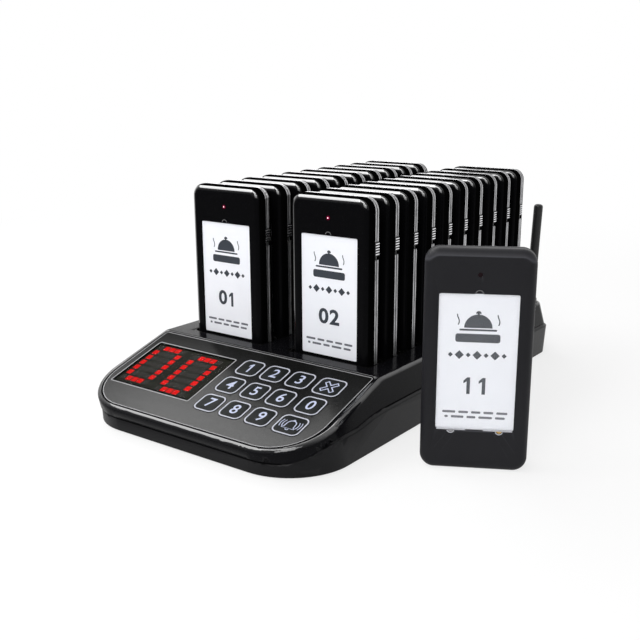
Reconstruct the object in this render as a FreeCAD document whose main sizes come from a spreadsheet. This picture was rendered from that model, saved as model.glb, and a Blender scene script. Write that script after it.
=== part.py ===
import FreeCAD, Part
import os
import re
import Sketcher
from FreeCAD import Placement, Rotation, Vector

# Guest pager system: a charging base with a sloping keypad panel and two columns of ten
# slots, twenty pagers standing in the slots, one pager out of the base, and an aerial.
# Millimetres. +X is to the right of a person facing the keypad, +Y runs to the back of the
# base, +Z is up. The origin is on the table, at the centre of the base's footprint.

SIZES = [
    # lower tray of the base
    ("tray_width", 165.2),
    ("tray_length", 286.0),
    ("tray_flare", 1.2),
    ("tray_front_radius", 36.0),
    ("tray_rear_radius", 14.0),
    ("tray_wall", 2.8),
    ("tray_floor", 2.2),
    ("ledge_width", 1.4),
    ("ledge_height", 1.2),
    # feet
    ("foot_radius", 6.0),
    ("foot_standing_height", 1.0),
    ("foot_sunk_depth", 0.8),
    ("foot_recess_gap", 0.2),
    ("foot_side_margin", 22.6),
    ("foot_front_setback", 39.0),
    ("foot_rear_setback", 27.0),
    # parting line between tray and housing: low along the front, high along the sides
    ("parting_front_height", 8.8),
    ("parting_side_height", 20.8),
    ("parting_rise_setback", 2.0),
    ("parting_rise_length", 69.0),
    # upper housing
    ("deck_height", 37.4),
    ("deck_thickness", 2.5),
    ("housing_wall", 2.4),
    ("housing_low_height", 7.0),
    ("side_lean", 1.8),
    ("rear_lean", 14.4),
    ("front_overhang", 8.4),
    ("front_low_setback", 0.6),
    ("rear_low_overhang", 5.4),
    ("housing_front_radius", 34.0),
    ("housing_rear_radius", 11.0),
    ("rim_radius", 2.4),
    ("fold_radius", 8.0),
    ("fold_setback", 70.0),
    ("panel_tilt", 17.7),
    ("panel_plate", 2.5),
    # panel overlay and display window
    ("overlay_side_margin", 6.6),
    ("overlay_length", 71.0),
    ("overlay_top_gap", 1.2),
    ("overlay_front_radius", 27.5),
    ("overlay_rear_radius", 2.5),
    ("overlay_thickness", 1.5),
    ("overlay_gap", 0.25),
    ("window_side_margin", 5.8),
    ("window_width_share", 0.394),
    ("window_top", 13.2),
    ("window_length", 41.0),
    ("window_radius", 0.8),
    ("window_gap", 0.1),
    # keys: a cap that shows in the panel over a wider flange that keeps it in
    ("key_width_share", 0.0987),
    ("key_length", 14.1),
    ("wide_key_width_share", 0.1099),
    ("wide_key_length", 14.7),
    ("key_radius", 3.7),
    ("key_proud", 0.25),
    ("key_gap", 0.22),
    ("key_flange", 0.7),
    ("key_flange_thickness", 0.8),
    ("key_travel", 0.6),
    ("key_dome_gap", 0.05),
    ("key_first_column_share", 0.025),
    ("key_column_pitch_share", 0.1143),
    ("key_last_column_share", 0.379),
    ("key_first_row", 17.3),
    ("key_row_pitch", 17.1),
    # keypad mat, panel board and digit modules
    ("panel_stack", 2.5),
    ("mat_thickness", 1.0),
    ("mat_margin", 1.0),
    ("dome_radius", 3.4),
    ("panel_board_thickness", 1.6),
    ("panel_board_side_margin", 8.5),
    ("panel_board_length", 66.5),
    ("panel_board_top_gap", 1.8),
    ("panel_board_front_radius", 24.0),
    ("panel_board_rear_radius", 2.0),
    ("pillar_radius", 2.3),
    ("upper_pillar_margin", 14.0),
    ("lower_pillar_margin", 34.0),
    ("upper_pillar_gap", 4.6),
    ("lower_pillar_gap", 64.6),
    ("panel_opening_margin", 1.2),
    ("digit_module_margin", 3.25),
    ("digit_module_length", 37.6),
    ("digit_module_gap", 1.4),
    ("digit_module_clearance", 0.3),
    # pager
    ("pager_width", 52.0),
    ("pager_height", 110.0),
    ("pager_thickness", 14.0),
    ("pager_corner_radius", 7.0),
    ("pager_front_radius", 4.0),
    ("pager_back_radius", 5.0),
    ("docked_front_chamfer", 2.4),
    ("docked_back_chamfer", 3.0),
    ("pager_seam_depth", 7.4),
    ("pager_seam_width", 0.6),
    ("pager_seam_inset", 0.5),
    ("pager_wall", 1.8),
    ("card_width", 37.6),
    ("card_height", 67.8),
    ("card_bottom", 21.1),
    ("card_radius", 1.0),
    ("card_recess", 1.0),
    ("card_thickness", 0.3),
    ("card_gap", 0.1),
    ("card_window_thickness", 0.55),
    ("finger_notch_radius", 2.0),
    ("clip_notch_offset", 11.3),
    ("clip_notch_width", 4.6),
    ("clip_notch_height", 1.7),
    ("led_rise", 9.2),
    ("led_radius", 1.1),
    ("led_gap", 0.08),
    ("led_proud", 0.3),
    ("led_dome_share", 0.7),
    # pager, inside
    ("pager_board_thickness", 1.2),
    ("pager_board_width", 42.0),
    ("pager_board_height", 94.0),
    ("pager_board_seat", 0.3),
    ("battery_width", 30.0),
    ("battery_height", 40.0),
    ("battery_thickness", 5.4),
    ("battery_bottom", 22.0),
    ("battery_edge_radius", 1.5),
    ("motor_radius", 3.0),
    ("motor_length", 12.0),
    ("motor_height", 84.0),
    ("pad_width", 4.0),
    ("pad_depth", 2.0),
    ("pad_height", 12.0),
    ("pad_offset", 8.0),
    ("pad_place", 6.0),
    ("pad_gap", 0.1),
    # pager switch, a ribbed slider across the seam on the right side
    ("switch_top", 23.0),
    ("switch_slot_length", 10.0),
    ("switch_slot_depth", 1.2),
    ("switch_knob_length", 7.6),
    ("switch_knob_width", 3.6),
    ("switch_knob_proud", 0.5),
    ("switch_gap", 0.15),
    ("switch_rib_pitch", 1.4),
    ("switch_rib_height", 0.5),
    ("switch_rib_width", 0.7),
    ("switch_stem_length", 3.0),
    ("switch_stem_width", 1.6),
    ("switch_stem_reach", 4.6),
    ("switch_travel", 2.0),
    # slots and the two slot banks
    ("column_side_margin", 45.55),
    ("slot_pitch", 19.7),
    ("slot_floor_height", 16.8),
    ("slot_gap", 0.5),
    ("slot_radius", 3.0),
    ("slot_lead_in", 0.9),
    ("first_slot_setback", 10.7),
    ("rear_room", 13.0),
    ("bank_wall", 2.0),
    ("bank_floor", 2.0),
    ("bank_flange", 1.8),
    ("bank_gap", 0.08),
    ("bank_post_radius", 2.5),
    # charging board and its contacts
    ("board_gap", 3.0),
    ("board_thickness", 1.6),
    ("board_side_margin", 2.0),
    ("board_front_margin", 4.0),
    ("board_rear_margin", 6.4),
    ("contact_gap", 0.2),
    # screws and the bosses that take them
    ("screw_radius", 1.3),
    ("screw_length", 6.0),
    ("screw_head_radius", 2.5),
    ("screw_head_height", 2.0),
    ("screw_bore_gap", 0.06),
    ("screw_hole_gap", 0.25),
    ("boss_radius", 3.3),
    ("boss_split_height", 10.0),
    ("boss_seat", 2.0),
    ("boss_skin", 0.4),
    ("boss_side_margin", 10.2),
    ("boss_front_setback", 31.0),
    ("boss_middle_offset", 5.0),
    ("boss_rear_margin", 31.0),
    ("front_boss_drop", 1.5),
    ("standoff_radius", 3.2),
    ("standoff_front_margin", 7.3),
    ("standoff_rear_margin", 10.0),
    # power inlet
    ("inlet_width", 9.0),
    ("inlet_height", 9.0),
    ("inlet_length", 12.2),
    ("inlet_centre_height", 11.0),
    ("inlet_nose_radius", 4.1),
    ("inlet_nose_gap", 0.1),
    ("inlet_bore_radius", 2.85),
    ("inlet_bore_depth", 9.5),
    ("inlet_pin_radius", 1.0),
    ("inlet_pin_setback", 1.5),
    # aerial
    ("aerial_side_margin", 22.0),
    ("aerial_height", 12.5),
    ("aerial_pivot_setback", 8.0),
    ("aerial_lean", 2.0),
    ("aerial_thread_radius", 3.1),
    ("aerial_thread_length", 5.0),
    ("aerial_nut_radius", 4.6),
    ("aerial_nut_thickness", 1.6),
    ("aerial_flange_radius", 4.8),
    ("aerial_flange_thickness", 2.0),
    ("aerial_running_gap", 0.05),
    ("aerial_collar_radius", 4.6),
    ("aerial_collar_length", 3.4),
    ("aerial_collar_end", 1.2),
    ("aerial_fork_gap", 0.12),
    ("aerial_fork_radius", 3.9),
    ("aerial_ear_thickness", 1.5),
    ("aerial_tongue_thickness", 2.8),
    ("aerial_eye_radius", 2.7),
    ("aerial_pin_radius", 0.9),
    ("aerial_rod_radius", 3.1),
    ("aerial_rod_top", 88.0),
    ("aerial_neck_height", 6.4),
    ("aerial_neck_share", 0.8),
    ("aerial_shoulder_share", 0.86),
    ("aerial_crown_share", 0.55),
    # margins that only have to reach past the solid they cut
    ("overrun", 12.0),
    ("small_overrun", 0.5),
]

COLUMNS = 2
TOUCHING = 0.01
FREE_PAGER_NUMBER = 11
KEY_ROWS = (("1", "2", "3", "clear"), ("4", "5", "6", "0"), ("7", "8", "9", "call"))

# two points of the parting line's rise, as shares of its length and height
PARTING_RISE_SHARES = ((0.26, 0.56), (0.62, 0.77))

# where the free pager stands beside the base, and how far it is turned to the right
SIZES += [
    ("free_pager_gap", 49.9),
    ("free_pager_back", 69.5),
    ("free_pager_turn", 28.0),
]

# sizes that follow others, worked out in the sheet
FOLLOWING = [
    ("overlay_width", "tray_width - 2 * overlay_side_margin"),
    ("foot_side_offset", "tray_width / 2 - foot_side_margin"),
    ("boss_side_offset", "tray_width / 2 - boss_side_margin"),
    ("column_offset", "tray_width / 2 - column_side_margin"),
    ("standoff_side_offset", "column_offset"),
    ("aerial_offset", "tray_width / 2 - aerial_side_margin"),
    ("free_pager_across", "tray_width / 2 + free_pager_gap"),
    ("foot_front_offset", "tray_length / 2 - foot_front_setback"),
    ("foot_rear_offset", "tray_length / 2 - foot_rear_setback"),
    ("boss_middle_setback", "tray_length / 2 + boss_middle_offset"),
    ("boss_rear_setback", "tray_length - boss_rear_margin"),
    # as many slots in a column as the deck has room for
    ("slot_rows", "floor((tray_length - fold_setback - first_slot_setback - pager_thickness - rear_room)"
     " / slot_pitch) + 1"),
    ("standoff_front_setback", "fold_setback + first_slot_setback + standoff_front_margin"),
    ("standoff_rear_setback", "fold_setback + first_slot_setback + (slot_rows - 1) * slot_pitch"
     " - standoff_rear_margin"),
    # the panel's pieces keep their shares of the overlay's width
    ("window_left", "overlay_width / 2 - window_side_margin"),
    ("window_width", "overlay_width * window_width_share"),
    ("key_width", "overlay_width * key_width_share"),
    ("wide_key_width", "overlay_width * wide_key_width_share"),
    ("key_first_column", "overlay_width * key_first_column_share"),
    ("key_column_pitch", "overlay_width * key_column_pitch_share"),
    ("key_last_column", "overlay_width * key_last_column_share"),
    ("panel_board_width", "overlay_width - 2 * panel_board_side_margin"),
    ("upper_pillar_offset", "overlay_width / 2 - upper_pillar_margin"),
    ("lower_pillar_offset", "overlay_width / 2 - lower_pillar_margin"),
    ("digit_module_width", "(window_width - digit_module_gap) / 2 - digit_module_margin"),
]

doc = FreeCAD.newDocument("guest_pager_system")
sheet = doc.addObject("Spreadsheet::Sheet", "Sizes")
for line, (alias, content) in enumerate(SIZES + FOLLOWING, 1):
    sheet.set("A%d" % line, alias)
    sheet.set("B%d" % line, "=" + str(content))
    sheet.setAlias("B%d" % line, alias)
doc.recompute()

ALIASES = {alias for alias, content in SIZES + FOLLOWING}
nodes = []


# Sizes and expressions

def expression(text):
    """The text with each alias pointing at its cell."""
    return re.sub(r"[a-z_]+", lambda word: "Sizes." + word.group() if word.group() in ALIASES
                  else word.group(), text)


def value(text):
    return float(sheet.evalExpression(expression(text)))


SLOTS_PER_COLUMN = round(value("slot_rows"))


def bind(thing, name, text):
    thing.setExpression(name, expression(text))


def place(thing, x="0", y="0", z="0"):
    for axis, text in (("x", x), ("y", y), ("z", z)):
        if text != "0":
            bind(thing, "Placement.Base." + axis, text)
    return thing


def node(thing, label):
    """Marks a finished piece, which is written to a file of its label."""
    thing.Label = label
    nodes.append(thing)
    return thing


# Solids made of primitives and sketches

def box(name, x, y, z, length, width, height):
    """A block whose lowest corner is at x, y, z."""
    thing = doc.addObject("Part::Box", name)
    bind(thing, "Length", length)
    bind(thing, "Width", width)
    bind(thing, "Height", height)
    return place(thing, x, y, z)


def block(name, x, y, z, length, width, height):
    """A block centred on x and y, standing on z."""
    return box(name, f"{x} - ({length}) / 2", f"{y} - ({width}) / 2", z, length, width, height)


def rod(name, x, y, z, radius, height, axis="Z"):
    """A cylinder from x, y, z along an axis."""
    thing = doc.addObject("Part::Cylinder", name)
    turns = {"X": Rotation(Vector(0, 1, 0), 90), "Y": Rotation(Vector(1, 0, 0), -90), "Z": Rotation()}
    thing.Placement = Placement(Vector(0, 0, 0), turns[axis])
    bind(thing, "Radius", radius)
    bind(thing, "Height", height)
    return place(thing, x, y, z)


def draw_rounded(sketch, left, right, low, high, low_radius, high_radius):
    """A rectangle with round corners, its four sides and two radii bound to sizes."""
    x0, x1, y0, y1 = value(left), value(right), value(low), value(high)
    lower, upper = value(low_radius), value(high_radius)
    corners = [(x1 - lower, y0 + lower, lower, 270), (x1 - upper, y1 - upper, upper, 0),
               (x0 + upper, y1 - upper, upper, 90), (x0 + lower, y0 + lower, lower, 180)]
    sides = [((x0 + lower, y0), (x1 - lower, y0)), ((x1, y0 + lower), (x1, y1 - upper)),
             ((x1 - upper, y1), (x0 + upper, y1)), ((x0, y1 - upper), (x0, y0 + lower))]
    first = sketch.GeometryCount
    for start, end in sides:
        sketch.addGeometry(Part.LineSegment(Vector(*start, 0), Vector(*end, 0)), False)
    for x, y, radius, angle in corners:
        circle = Part.Circle(Vector(x, y, 0), Vector(0, 0, 1), radius)
        start = FreeCAD.Units.Quantity(angle, FreeCAD.Units.Angle).getValueAs("rad").Value
        end = FreeCAD.Units.Quantity(angle + 90, FreeCAD.Units.Angle).getValueAs("rad").Value
        sketch.addGeometry(Part.ArcOfCircle(circle, start, end), False)
    for side in range(4):
        arc = first + 4 + side
        sketch.addConstraint(Sketcher.Constraint("Tangent", first + side, 2, arc, 1))
        sketch.addConstraint(Sketcher.Constraint("Tangent", arc, 2, first + (side + 1) % 4, 1))
        direction = "Horizontal" if side % 2 == 0 else "Vertical"
        sketch.addConstraint(Sketcher.Constraint(direction, first + side))
    sketch.addConstraint(Sketcher.Constraint("Equal", first + 4, first + 7))
    sketch.addConstraint(Sketcher.Constraint("Equal", first + 5, first + 6))
    bound = [("Radius", (first + 4,), low_radius), ("Radius", (first + 5,), high_radius),
             ("DistanceX", (-1, 1, first + 3, 1), left), ("DistanceX", (-1, 1, first + 1, 1), right),
             ("DistanceY", (-1, 1, first, 1), low), ("DistanceY", (-1, 1, first + 2, 1), high)]
    for kind, where, text in bound:
        number = sketch.addConstraint(Sketcher.Constraint(kind, *where, value(text)))
        name = f"size{number}"
        sketch.renameConstraint(number, name)
        bind(sketch, "Constraints." + name, text)


def outline(name, left, right, low, high, low_radius, high_radius, level):
    sketch = doc.addObject("Sketcher::SketchObject", name)
    draw_rounded(sketch, left, right, low, high, low_radius, high_radius)
    return place(sketch, z=level)


def slab(name, left, right, low, high, radius, level, height, high_radius=None):
    """A flat piece with round corners, standing on a level."""
    sketch = outline(name + "_outline", left, right, low, high, radius, high_radius or radius, level)
    thing = doc.addObject("Part::Extrusion", name)
    thing.Base = sketch
    thing.DirMode = "Normal"
    thing.Solid = True
    bind(thing, "LengthFwd", height)
    return thing


def loft(name, lower, upper):
    thing = doc.addObject("Part::Loft", name)
    thing.Sections = [lower, upper]
    thing.Solid = True
    thing.Ruled = True
    return thing


def joined(name, parts):
    thing = doc.addObject("Part::MultiFuse", name)
    thing.Shapes = parts
    return thing


def group(name, parts):
    thing = doc.addObject("Part::Compound", name)
    thing.Links = parts
    return thing


def cut(name, base, tools):
    thing = doc.addObject("Part::Cut", name)
    thing.Base = base
    thing.Tool = tools[0] if len(tools) == 1 else joined(name + "_tools", tools)
    return thing


def common(name, base, tool):
    thing = doc.addObject("Part::Common", name)
    thing.Base = base
    thing.Tool = tool
    return thing


def dress(kind, name, base, size, chosen):
    """A fillet or chamfer of one size on the edges that the test picks out."""
    doc.recompute()
    thing = doc.addObject("Part::" + kind, name)
    thing.Base = base
    number = value(size)
    edges = [i for i, edge in enumerate(base.Shape.Edges, 1) if chosen(edge)]
    thing.Edges = [(i, number, number) for i in edges]
    return thing


# Solids made in a body of their own

def new_body(name):
    return doc.addObject("PartDesign::Body", name)


def body_sketch(body, name, role, offset="0"):
    sketch = body.newObject("Sketcher::SketchObject", name)
    plane = [feature for feature in body.Origin.OriginFeatures if feature.Role == role][0]
    sketch.AttachmentSupport = (plane, [""])
    sketch.MapMode = "FlatFace"
    if offset != "0":
        bind(sketch, ".AttachmentOffset.Base.z", offset)
    return sketch


def feature(body, kind, name, sketch, length, backwards=False):
    thing = body.newObject("PartDesign::" + kind, name)
    thing.Profile = sketch
    bind(thing, "Length", length)
    thing.Reversed = backwards
    return thing


def pocket(body, name, sketch, depth, backwards=False):
    """A pocket that must take material away."""
    doc.recompute()
    before = body.Shape.Volume
    thing = feature(body, "Pocket", name, sketch, depth, backwards)
    doc.recompute()
    if body.Shape.Volume > before - TOUCHING:
        raise RuntimeError(name + " cuts nothing")
    return thing


def body_edge(body, kind, name, size, chosen):
    """A fillet or chamfer on the edges of the body's last feature that the test picks out."""
    doc.recompute()
    base = body.Tip
    thing = body.newObject("PartDesign::" + kind, name)
    names = ["Edge%d" % i for i, edge in enumerate(base.Shape.Edges, 1) if chosen(edge)]
    thing.Base = (base, names)
    bind(thing, "Radius" if kind == "Fillet" else "Size", size)
    return thing


def draw_circle(sketch, x, y, radius):
    number = sketch.addGeometry(Part.Circle(Vector(value(x), value(y), 0), Vector(0, 0, 1), value(radius)), False)
    bound = [("Radius", (number,), radius), ("DistanceX", (-1, 1, number, 3), x), ("DistanceY", (-1, 1, number, 3), y)]
    for kind, where, text in bound:
        constraint = sketch.addConstraint(Sketcher.Constraint(kind, *where, value(text)))
        name = f"size{constraint}"
        sketch.renameConstraint(constraint, name)
        bind(sketch, "Constraints." + name, text)


def draw_profile(sketch, points):
    """A closed outline of straight sides whose corners are bound to sizes."""
    places = [(value(x), value(y)) for x, y in points]
    first = sketch.GeometryCount
    for i, start in enumerate(places):
        end = places[(i + 1) % len(places)]
        sketch.addGeometry(Part.LineSegment(Vector(*start, 0), Vector(*end, 0)), False)
    for i in range(len(places)):
        after = first + (i + 1) % len(places)
        sketch.addConstraint(Sketcher.Constraint("Coincident", first + i, 2, after, 1))
    for i, (x, y) in enumerate(points):
        for kind, text in (("DistanceX", x), ("DistanceY", y)):
            number = sketch.addConstraint(Sketcher.Constraint(kind, -1, 1, first + i, 1, value(text)))
            name = f"size{number}"
            sketch.renameConstraint(number, name)
            bind(sketch, "Constraints." + name, text)


def turned(name, points):
    """A round piece: an outline of (radius, height) corners turned about its own Z axis."""
    body = new_body(name)
    sketch = body_sketch(body, name + "_profile", "XZ_Plane")
    draw_profile(sketch, points)
    thing = body.newObject("PartDesign::Revolution", name + "_turn")
    thing.Profile = sketch
    thing.ReferenceAxis = (sketch, ["V_Axis"])
    thing.Angle = 360
    return body


# Places that several pieces share

FOLD = "(fold_setback - tray_length / 2)"
FIRST_FRONT = f"({FOLD} + first_slot_setback)"
DECK_UNDERSIDE = "(deck_height - deck_thickness)"
TRAY_INSIDE = "(foot_standing_height + tray_floor)"
SLOT_LENGTH = "(pager_width + 2 * slot_gap)"
SLOT_WIDTH = "(pager_thickness + 2 * slot_gap)"
BANK_BOTTOM = "(slot_floor_height - bank_floor)"
BOARD_TOP = f"({BANK_BOTTOM} - board_gap)"
BANK_FRONT = f"({FIRST_FRONT} - slot_gap - bank_wall)"
BANK_LENGTH = f"((slot_rows - 1) * slot_pitch + {SLOT_WIDTH} + 2 * bank_wall)"
BOARD_REAR = f"({BANK_FRONT} + {BANK_LENGTH} - board_rear_margin)"
STACK_DEPTH = "(overlay_thickness + panel_plate + panel_stack)"
REAR_WALL = "(tray_length / 2)"


def on_panel(thing):
    """Lays a piece drawn flat, with +Y up the slope, onto the tilted panel."""
    thing.Placement = Placement(Vector(0, 0, 0), Rotation(Vector(1, 0, 0), 1))
    bind(thing, "Placement.Rotation.Angle", "panel_tilt")
    return place(thing, y=FOLD, z="deck_height")


def base_outline(name, inset, level, front_radius, rear_radius):
    """The base's plan at a level, a named distance inside the tray's widest outline."""
    half = f"(tray_width / 2 - ({inset}))"
    depth = f"(tray_length / 2 - ({inset}))"
    return outline(name, "-" + half, half, "-" + depth, depth, f"{front_radius} - ({inset})",
                   f"{rear_radius} - ({inset})", level)


# Lower tray and the parting line

def above_parting(name, drop):
    """Everything over the parting line, which rises from the front round to the sides.

    The line is a curve through four points, so the block under it is drawn in code.
    """
    reach = value("tray_length / 2 + overrun")
    across = value("tray_width / 2 + overrun")
    low = value(f"parting_front_height - ({drop})")
    high = value(f"parting_side_height - ({drop})")
    start = value("parting_rise_setback - tray_length / 2")
    length = value("parting_rise_length")
    rise = [Vector(-across, start, low)]
    for along, up in PARTING_RISE_SHARES:
        rise.append(Vector(-across, start + along * length, low + up * (high - low)))
    rise.append(Vector(-across, start + length, high))
    curve = Part.BSplineCurve()
    level = Vector(0, length, 0)
    curve.interpolate(Points=rise, InitialTangent=level, FinalTangent=level)
    top = value("deck_height + overrun")
    corners = [rise[-1], Vector(-across, reach, high), Vector(-across, reach, top),
               Vector(-across, -reach, top), Vector(-across, -reach, low), rise[0]]
    edges = [curve.toShape()] + [Part.LineSegment(a, b).toShape() for a, b in zip(corners, corners[1:])]
    thing = doc.addObject("Part::Feature", name)
    thing.Shape = Part.Face(Part.Wire(edges)).extrude(Vector(2 * across, 0, 0))
    return thing


def screw_places():
    """Where the six case screws stand, as (x, y)."""
    places = []
    for setback in ("boss_front_setback", "boss_middle_setback", "boss_rear_setback"):
        for side in ("-boss_side_offset", "boss_side_offset"):
            places.append((side, f"({setback} - tray_length / 2)"))
    return places


def standoff_places():
    places = []
    for setback in ("standoff_front_setback", "standoff_rear_setback"):
        for side in ("-standoff_side_offset", "standoff_side_offset"):
            places.append((side, f"({setback} - tray_length / 2)"))
    return places


def foot_places():
    return [(side, along) for side in ("-foot_side_offset", "foot_side_offset")
            for along in ("-foot_front_offset", "foot_rear_offset")]


def make_lower_tray():
    wide = base_outline("tray_widest", "0", "parting_side_height", "tray_front_radius", "tray_rear_radius")
    low = base_outline("tray_foot", "tray_flare", "foot_standing_height", "tray_front_radius", "tray_rear_radius")
    wall = cut("tray_wall_block", loft("tray_outer", low, wide), [above_parting("over_ledge", "ledge_height")])
    tongue_low = base_outline("tongue_foot", "ledge_width + tray_flare", "foot_standing_height",
                              "tray_front_radius", "tray_rear_radius")
    tongue_top = base_outline("tongue_top", "ledge_width", "parting_side_height",
                              "tray_front_radius", "tray_rear_radius")
    tongue = cut("tongue_block", loft("tongue_outer", tongue_low, tongue_top), [above_parting("over_tongue", "0")])
    inner_low = base_outline("tray_inner_low", "tray_wall + tray_flare", TRAY_INSIDE,
                             "tray_front_radius", "tray_rear_radius")
    inner_top = base_outline("tray_inner_top", "tray_wall", "parting_side_height + small_overrun",
                             "tray_front_radius", "tray_rear_radius")
    hollow = cut("tray_hollow", joined("tray_solid", [wall, tongue]), [loft("tray_room", inner_low, inner_top)])
    stands, bores = [], []
    for i, (x, y) in enumerate(screw_places()):
        stands.append(rod(f"case_boss_{i}", x, y, "foot_standing_height", "boss_radius",
                          "boss_split_height - foot_standing_height"))
        bores.append(rod(f"case_hole_{i}", x, y, "0", "screw_radius + screw_hole_gap", "boss_split_height + overrun"))
        bores.append(rod(f"case_well_{i}", x, y, "0", "screw_head_radius + screw_hole_gap",
                         "boss_split_height - boss_seat"))
    for i, (x, y) in enumerate(standoff_places()):
        stands.append(rod(f"standoff_{i}", x, y, "foot_standing_height", "standoff_radius",
                          f"{BOARD_TOP} - board_thickness - foot_standing_height"))
        bores.append(rod(f"standoff_bore_{i}", x, y, f"{BOARD_TOP} - screw_length - small_overrun",
                         "screw_radius + screw_bore_gap", "screw_length + small_overrun"))
    for i, (x, y) in enumerate(foot_places()):
        bores.append(rod(f"foot_recess_{i}", x, y, "0", "foot_radius + foot_recess_gap",
                         "foot_standing_height + foot_sunk_depth"))
    bores.append(rod("inlet_hole", "0", f"{REAR_WALL} - tray_wall - overrun", "inlet_centre_height",
                     "inlet_nose_radius + inlet_nose_gap", "tray_wall + 2 * overrun", "Y"))
    bores.append(rod("aerial_hole", "aerial_offset", f"{REAR_WALL} - tray_wall - overrun", "aerial_height",
                     "aerial_thread_radius + aerial_running_gap", "tray_wall + 2 * overrun", "Y"))
    return node(cut("lower_tray", joined("tray_with_stands", [hollow] + stands), bores), "lower_tray")


def make_feet():
    feet = []
    for i, (x, y) in enumerate(foot_places()):
        feet.append(rod(f"foot_{i}", x, y, "0", "foot_radius", "foot_standing_height + foot_sunk_depth"))
    return node(group("rubber_feet", feet), "rubber_feet")


# Upper housing

def housing_outline(name, inset, top):
    """The housing's plan at the low level or at the deck, a wall's thickness inside if asked."""
    lean = "side_lean" if top else "0"
    half = f"(tray_width / 2 - ledge_width - {lean} - ({inset}))"
    front = f"(tray_length / 2 - front_low_setback + {'front_overhang' if top else '0'} - ({inset}))"
    rear = f"(tray_length / 2 + rear_low_overhang - {'rear_lean' if top else '0'} - ({inset}))"
    return outline(name, "-" + half, half, "-" + front, rear, f"housing_front_radius - ({inset})",
                   f"housing_rear_radius - ({inset})", "0")


def over_panel(name, depth):
    """The space over the panel's plane, or over a plane sunk a named depth below it."""
    reach = "tray_length"
    across = "(tray_width / 2 + overrun)"
    space = box(name + "_space", "-" + across, "-" + reach, f"-({depth})", f"2 * {across}", reach, reach)
    return on_panel(group(name, [space]))


def on_plane(edge, test):
    return all(test(vertex.Point) for vertex in edge.Vertexes) and test(edge.CenterOfMass)


def make_upper_housing():
    low = place(housing_outline("housing_low", "0", False), z="housing_low_height")
    top = place(housing_outline("housing_top", "0", True), z="deck_height")
    block_shape = cut("housing_block", loft("housing_loft", low, top), [over_panel("over_panel_plane", "0")])
    deck, fold, small = value("deck_height"), value(FOLD), value("small_overrun")
    folded = dress("Fillet", "housing_folded", block_shape, "fold_radius", lambda edge: on_plane(
        edge, lambda p: abs(p.z - deck) < small and abs(p.y - fold) < small))
    doc.recompute()
    onto_panel = doc.getObject("over_panel_plane").Placement.inverse()

    def on_rim(edge):
        on_deck = on_plane(edge, lambda p: abs(p.z - deck) < TOUCHING)
        on_slope = on_plane(edge, lambda p: abs(onto_panel.multVec(p).z) < TOUCHING)
        across = edge.BoundBox.YLength < TOUCHING and abs(edge.CenterOfMass.y - fold) < value("fold_radius")
        bent = (edge.BoundBox.YMin < fold < edge.BoundBox.YMax and edge.BoundBox.XLength < small
                and edge.BoundBox.ZMin > deck - small)
        return (on_deck or on_slope or bent) and not across

    rimmed = dress("Fillet", "housing_rimmed", folded, "rim_radius", on_rim)
    inner_low = place(housing_outline("room_low", "housing_wall", False), z="housing_low_height - small_overrun")
    inner_top = place(housing_outline("room_top", "housing_wall", True), z=DECK_UNDERSIDE)
    room = cut("housing_room", loft("room_loft", inner_low, inner_top),
               [over_panel("over_plate", "overlay_thickness + panel_plate")])
    shell = common("housing_shell", cut("housing_hollow", rimmed, [room]), above_parting("over_parting", "0"))
    bosses, bores = [], []
    for i, (x, y) in enumerate(screw_places()):
        height = f"{DECK_UNDERSIDE} - boss_split_height"
        if i < COLUMNS:
            height += " - (fold_setback - boss_front_setback) * tan(panel_tilt) - front_boss_drop"
        bosses.append(rod(f"housing_boss_{i}", x, y, "boss_split_height", "boss_radius", height))
        bores.append(rod(f"housing_bore_{i}", x, y, "boss_split_height - small_overrun",
                         "screw_radius + screw_bore_gap",
                         "screw_length - boss_seat + 2 * small_overrun"))
    for side in (-1, 1):
        name = "left" if side < 0 else "right"
        half = f"({SLOT_LENGTH} / 2 + bank_wall + bank_gap)"
        bores.append(box(f"well_{name}", f"{side} * column_offset - {half}", f"{BANK_FRONT} - bank_gap",
                         f"{DECK_UNDERSIDE} - small_overrun", f"2 * {half}", f"{BANK_LENGTH} + 2 * bank_gap",
                         "deck_thickness + overrun"))
    recess = slab("overlay_recess", "-overlay_width / 2 - overlay_gap", "overlay_width / 2 + overlay_gap",
                  "-overlay_top_gap - overlay_length - overlay_gap", "overlay_gap - overlay_top_gap",
                  "overlay_front_radius", "-overlay_thickness", "overlay_thickness + overrun",
                  "overlay_rear_radius")
    through = "overlay_thickness + panel_plate + 2 * small_overrun"
    below = "-overlay_thickness - panel_plate - small_overrun"
    margin = "panel_opening_margin"
    window_opening = box("window_opening", f"{margin} - window_left", f"{margin} - window_top - window_length",
                         below, f"window_width - 2 * {margin}", f"window_length - 2 * {margin}", through)
    keypad_opening = box("keypad_opening", KEYPAD_LEFT, KEYPAD_LOW, below, KEYPAD_WIDTH, KEYPAD_LENGTH, through)
    tools = [recess, window_opening, keypad_opening]
    bores.append(on_panel(joined("panel_tools", tools)))
    pillars = []
    for i, (x, y) in enumerate(panel_screw_places()):
        pillars.append(rod(f"pillar_{i}", x, y, f"-{STACK_DEPTH}", "pillar_radius", "panel_stack"))
    bosses.append(on_panel(group("panel_pillars", pillars)))
    holes = []
    for i, (x, y) in enumerate(panel_screw_places()):
        holes.append(rod(f"pillar_bore_{i}", x, y, f"-{STACK_DEPTH} - small_overrun",
                         "screw_radius + screw_bore_gap",
                         "panel_stack + panel_plate + small_overrun - boss_skin"))
    bores.append(on_panel(group("panel_bores", holes)))
    return node(cut("upper_housing", joined("housing_with_bosses", [shell] + bosses), bores), "upper_housing")


# Panel: overlay, window, keys, mat, board and digit modules, drawn flat and then tilted

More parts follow.
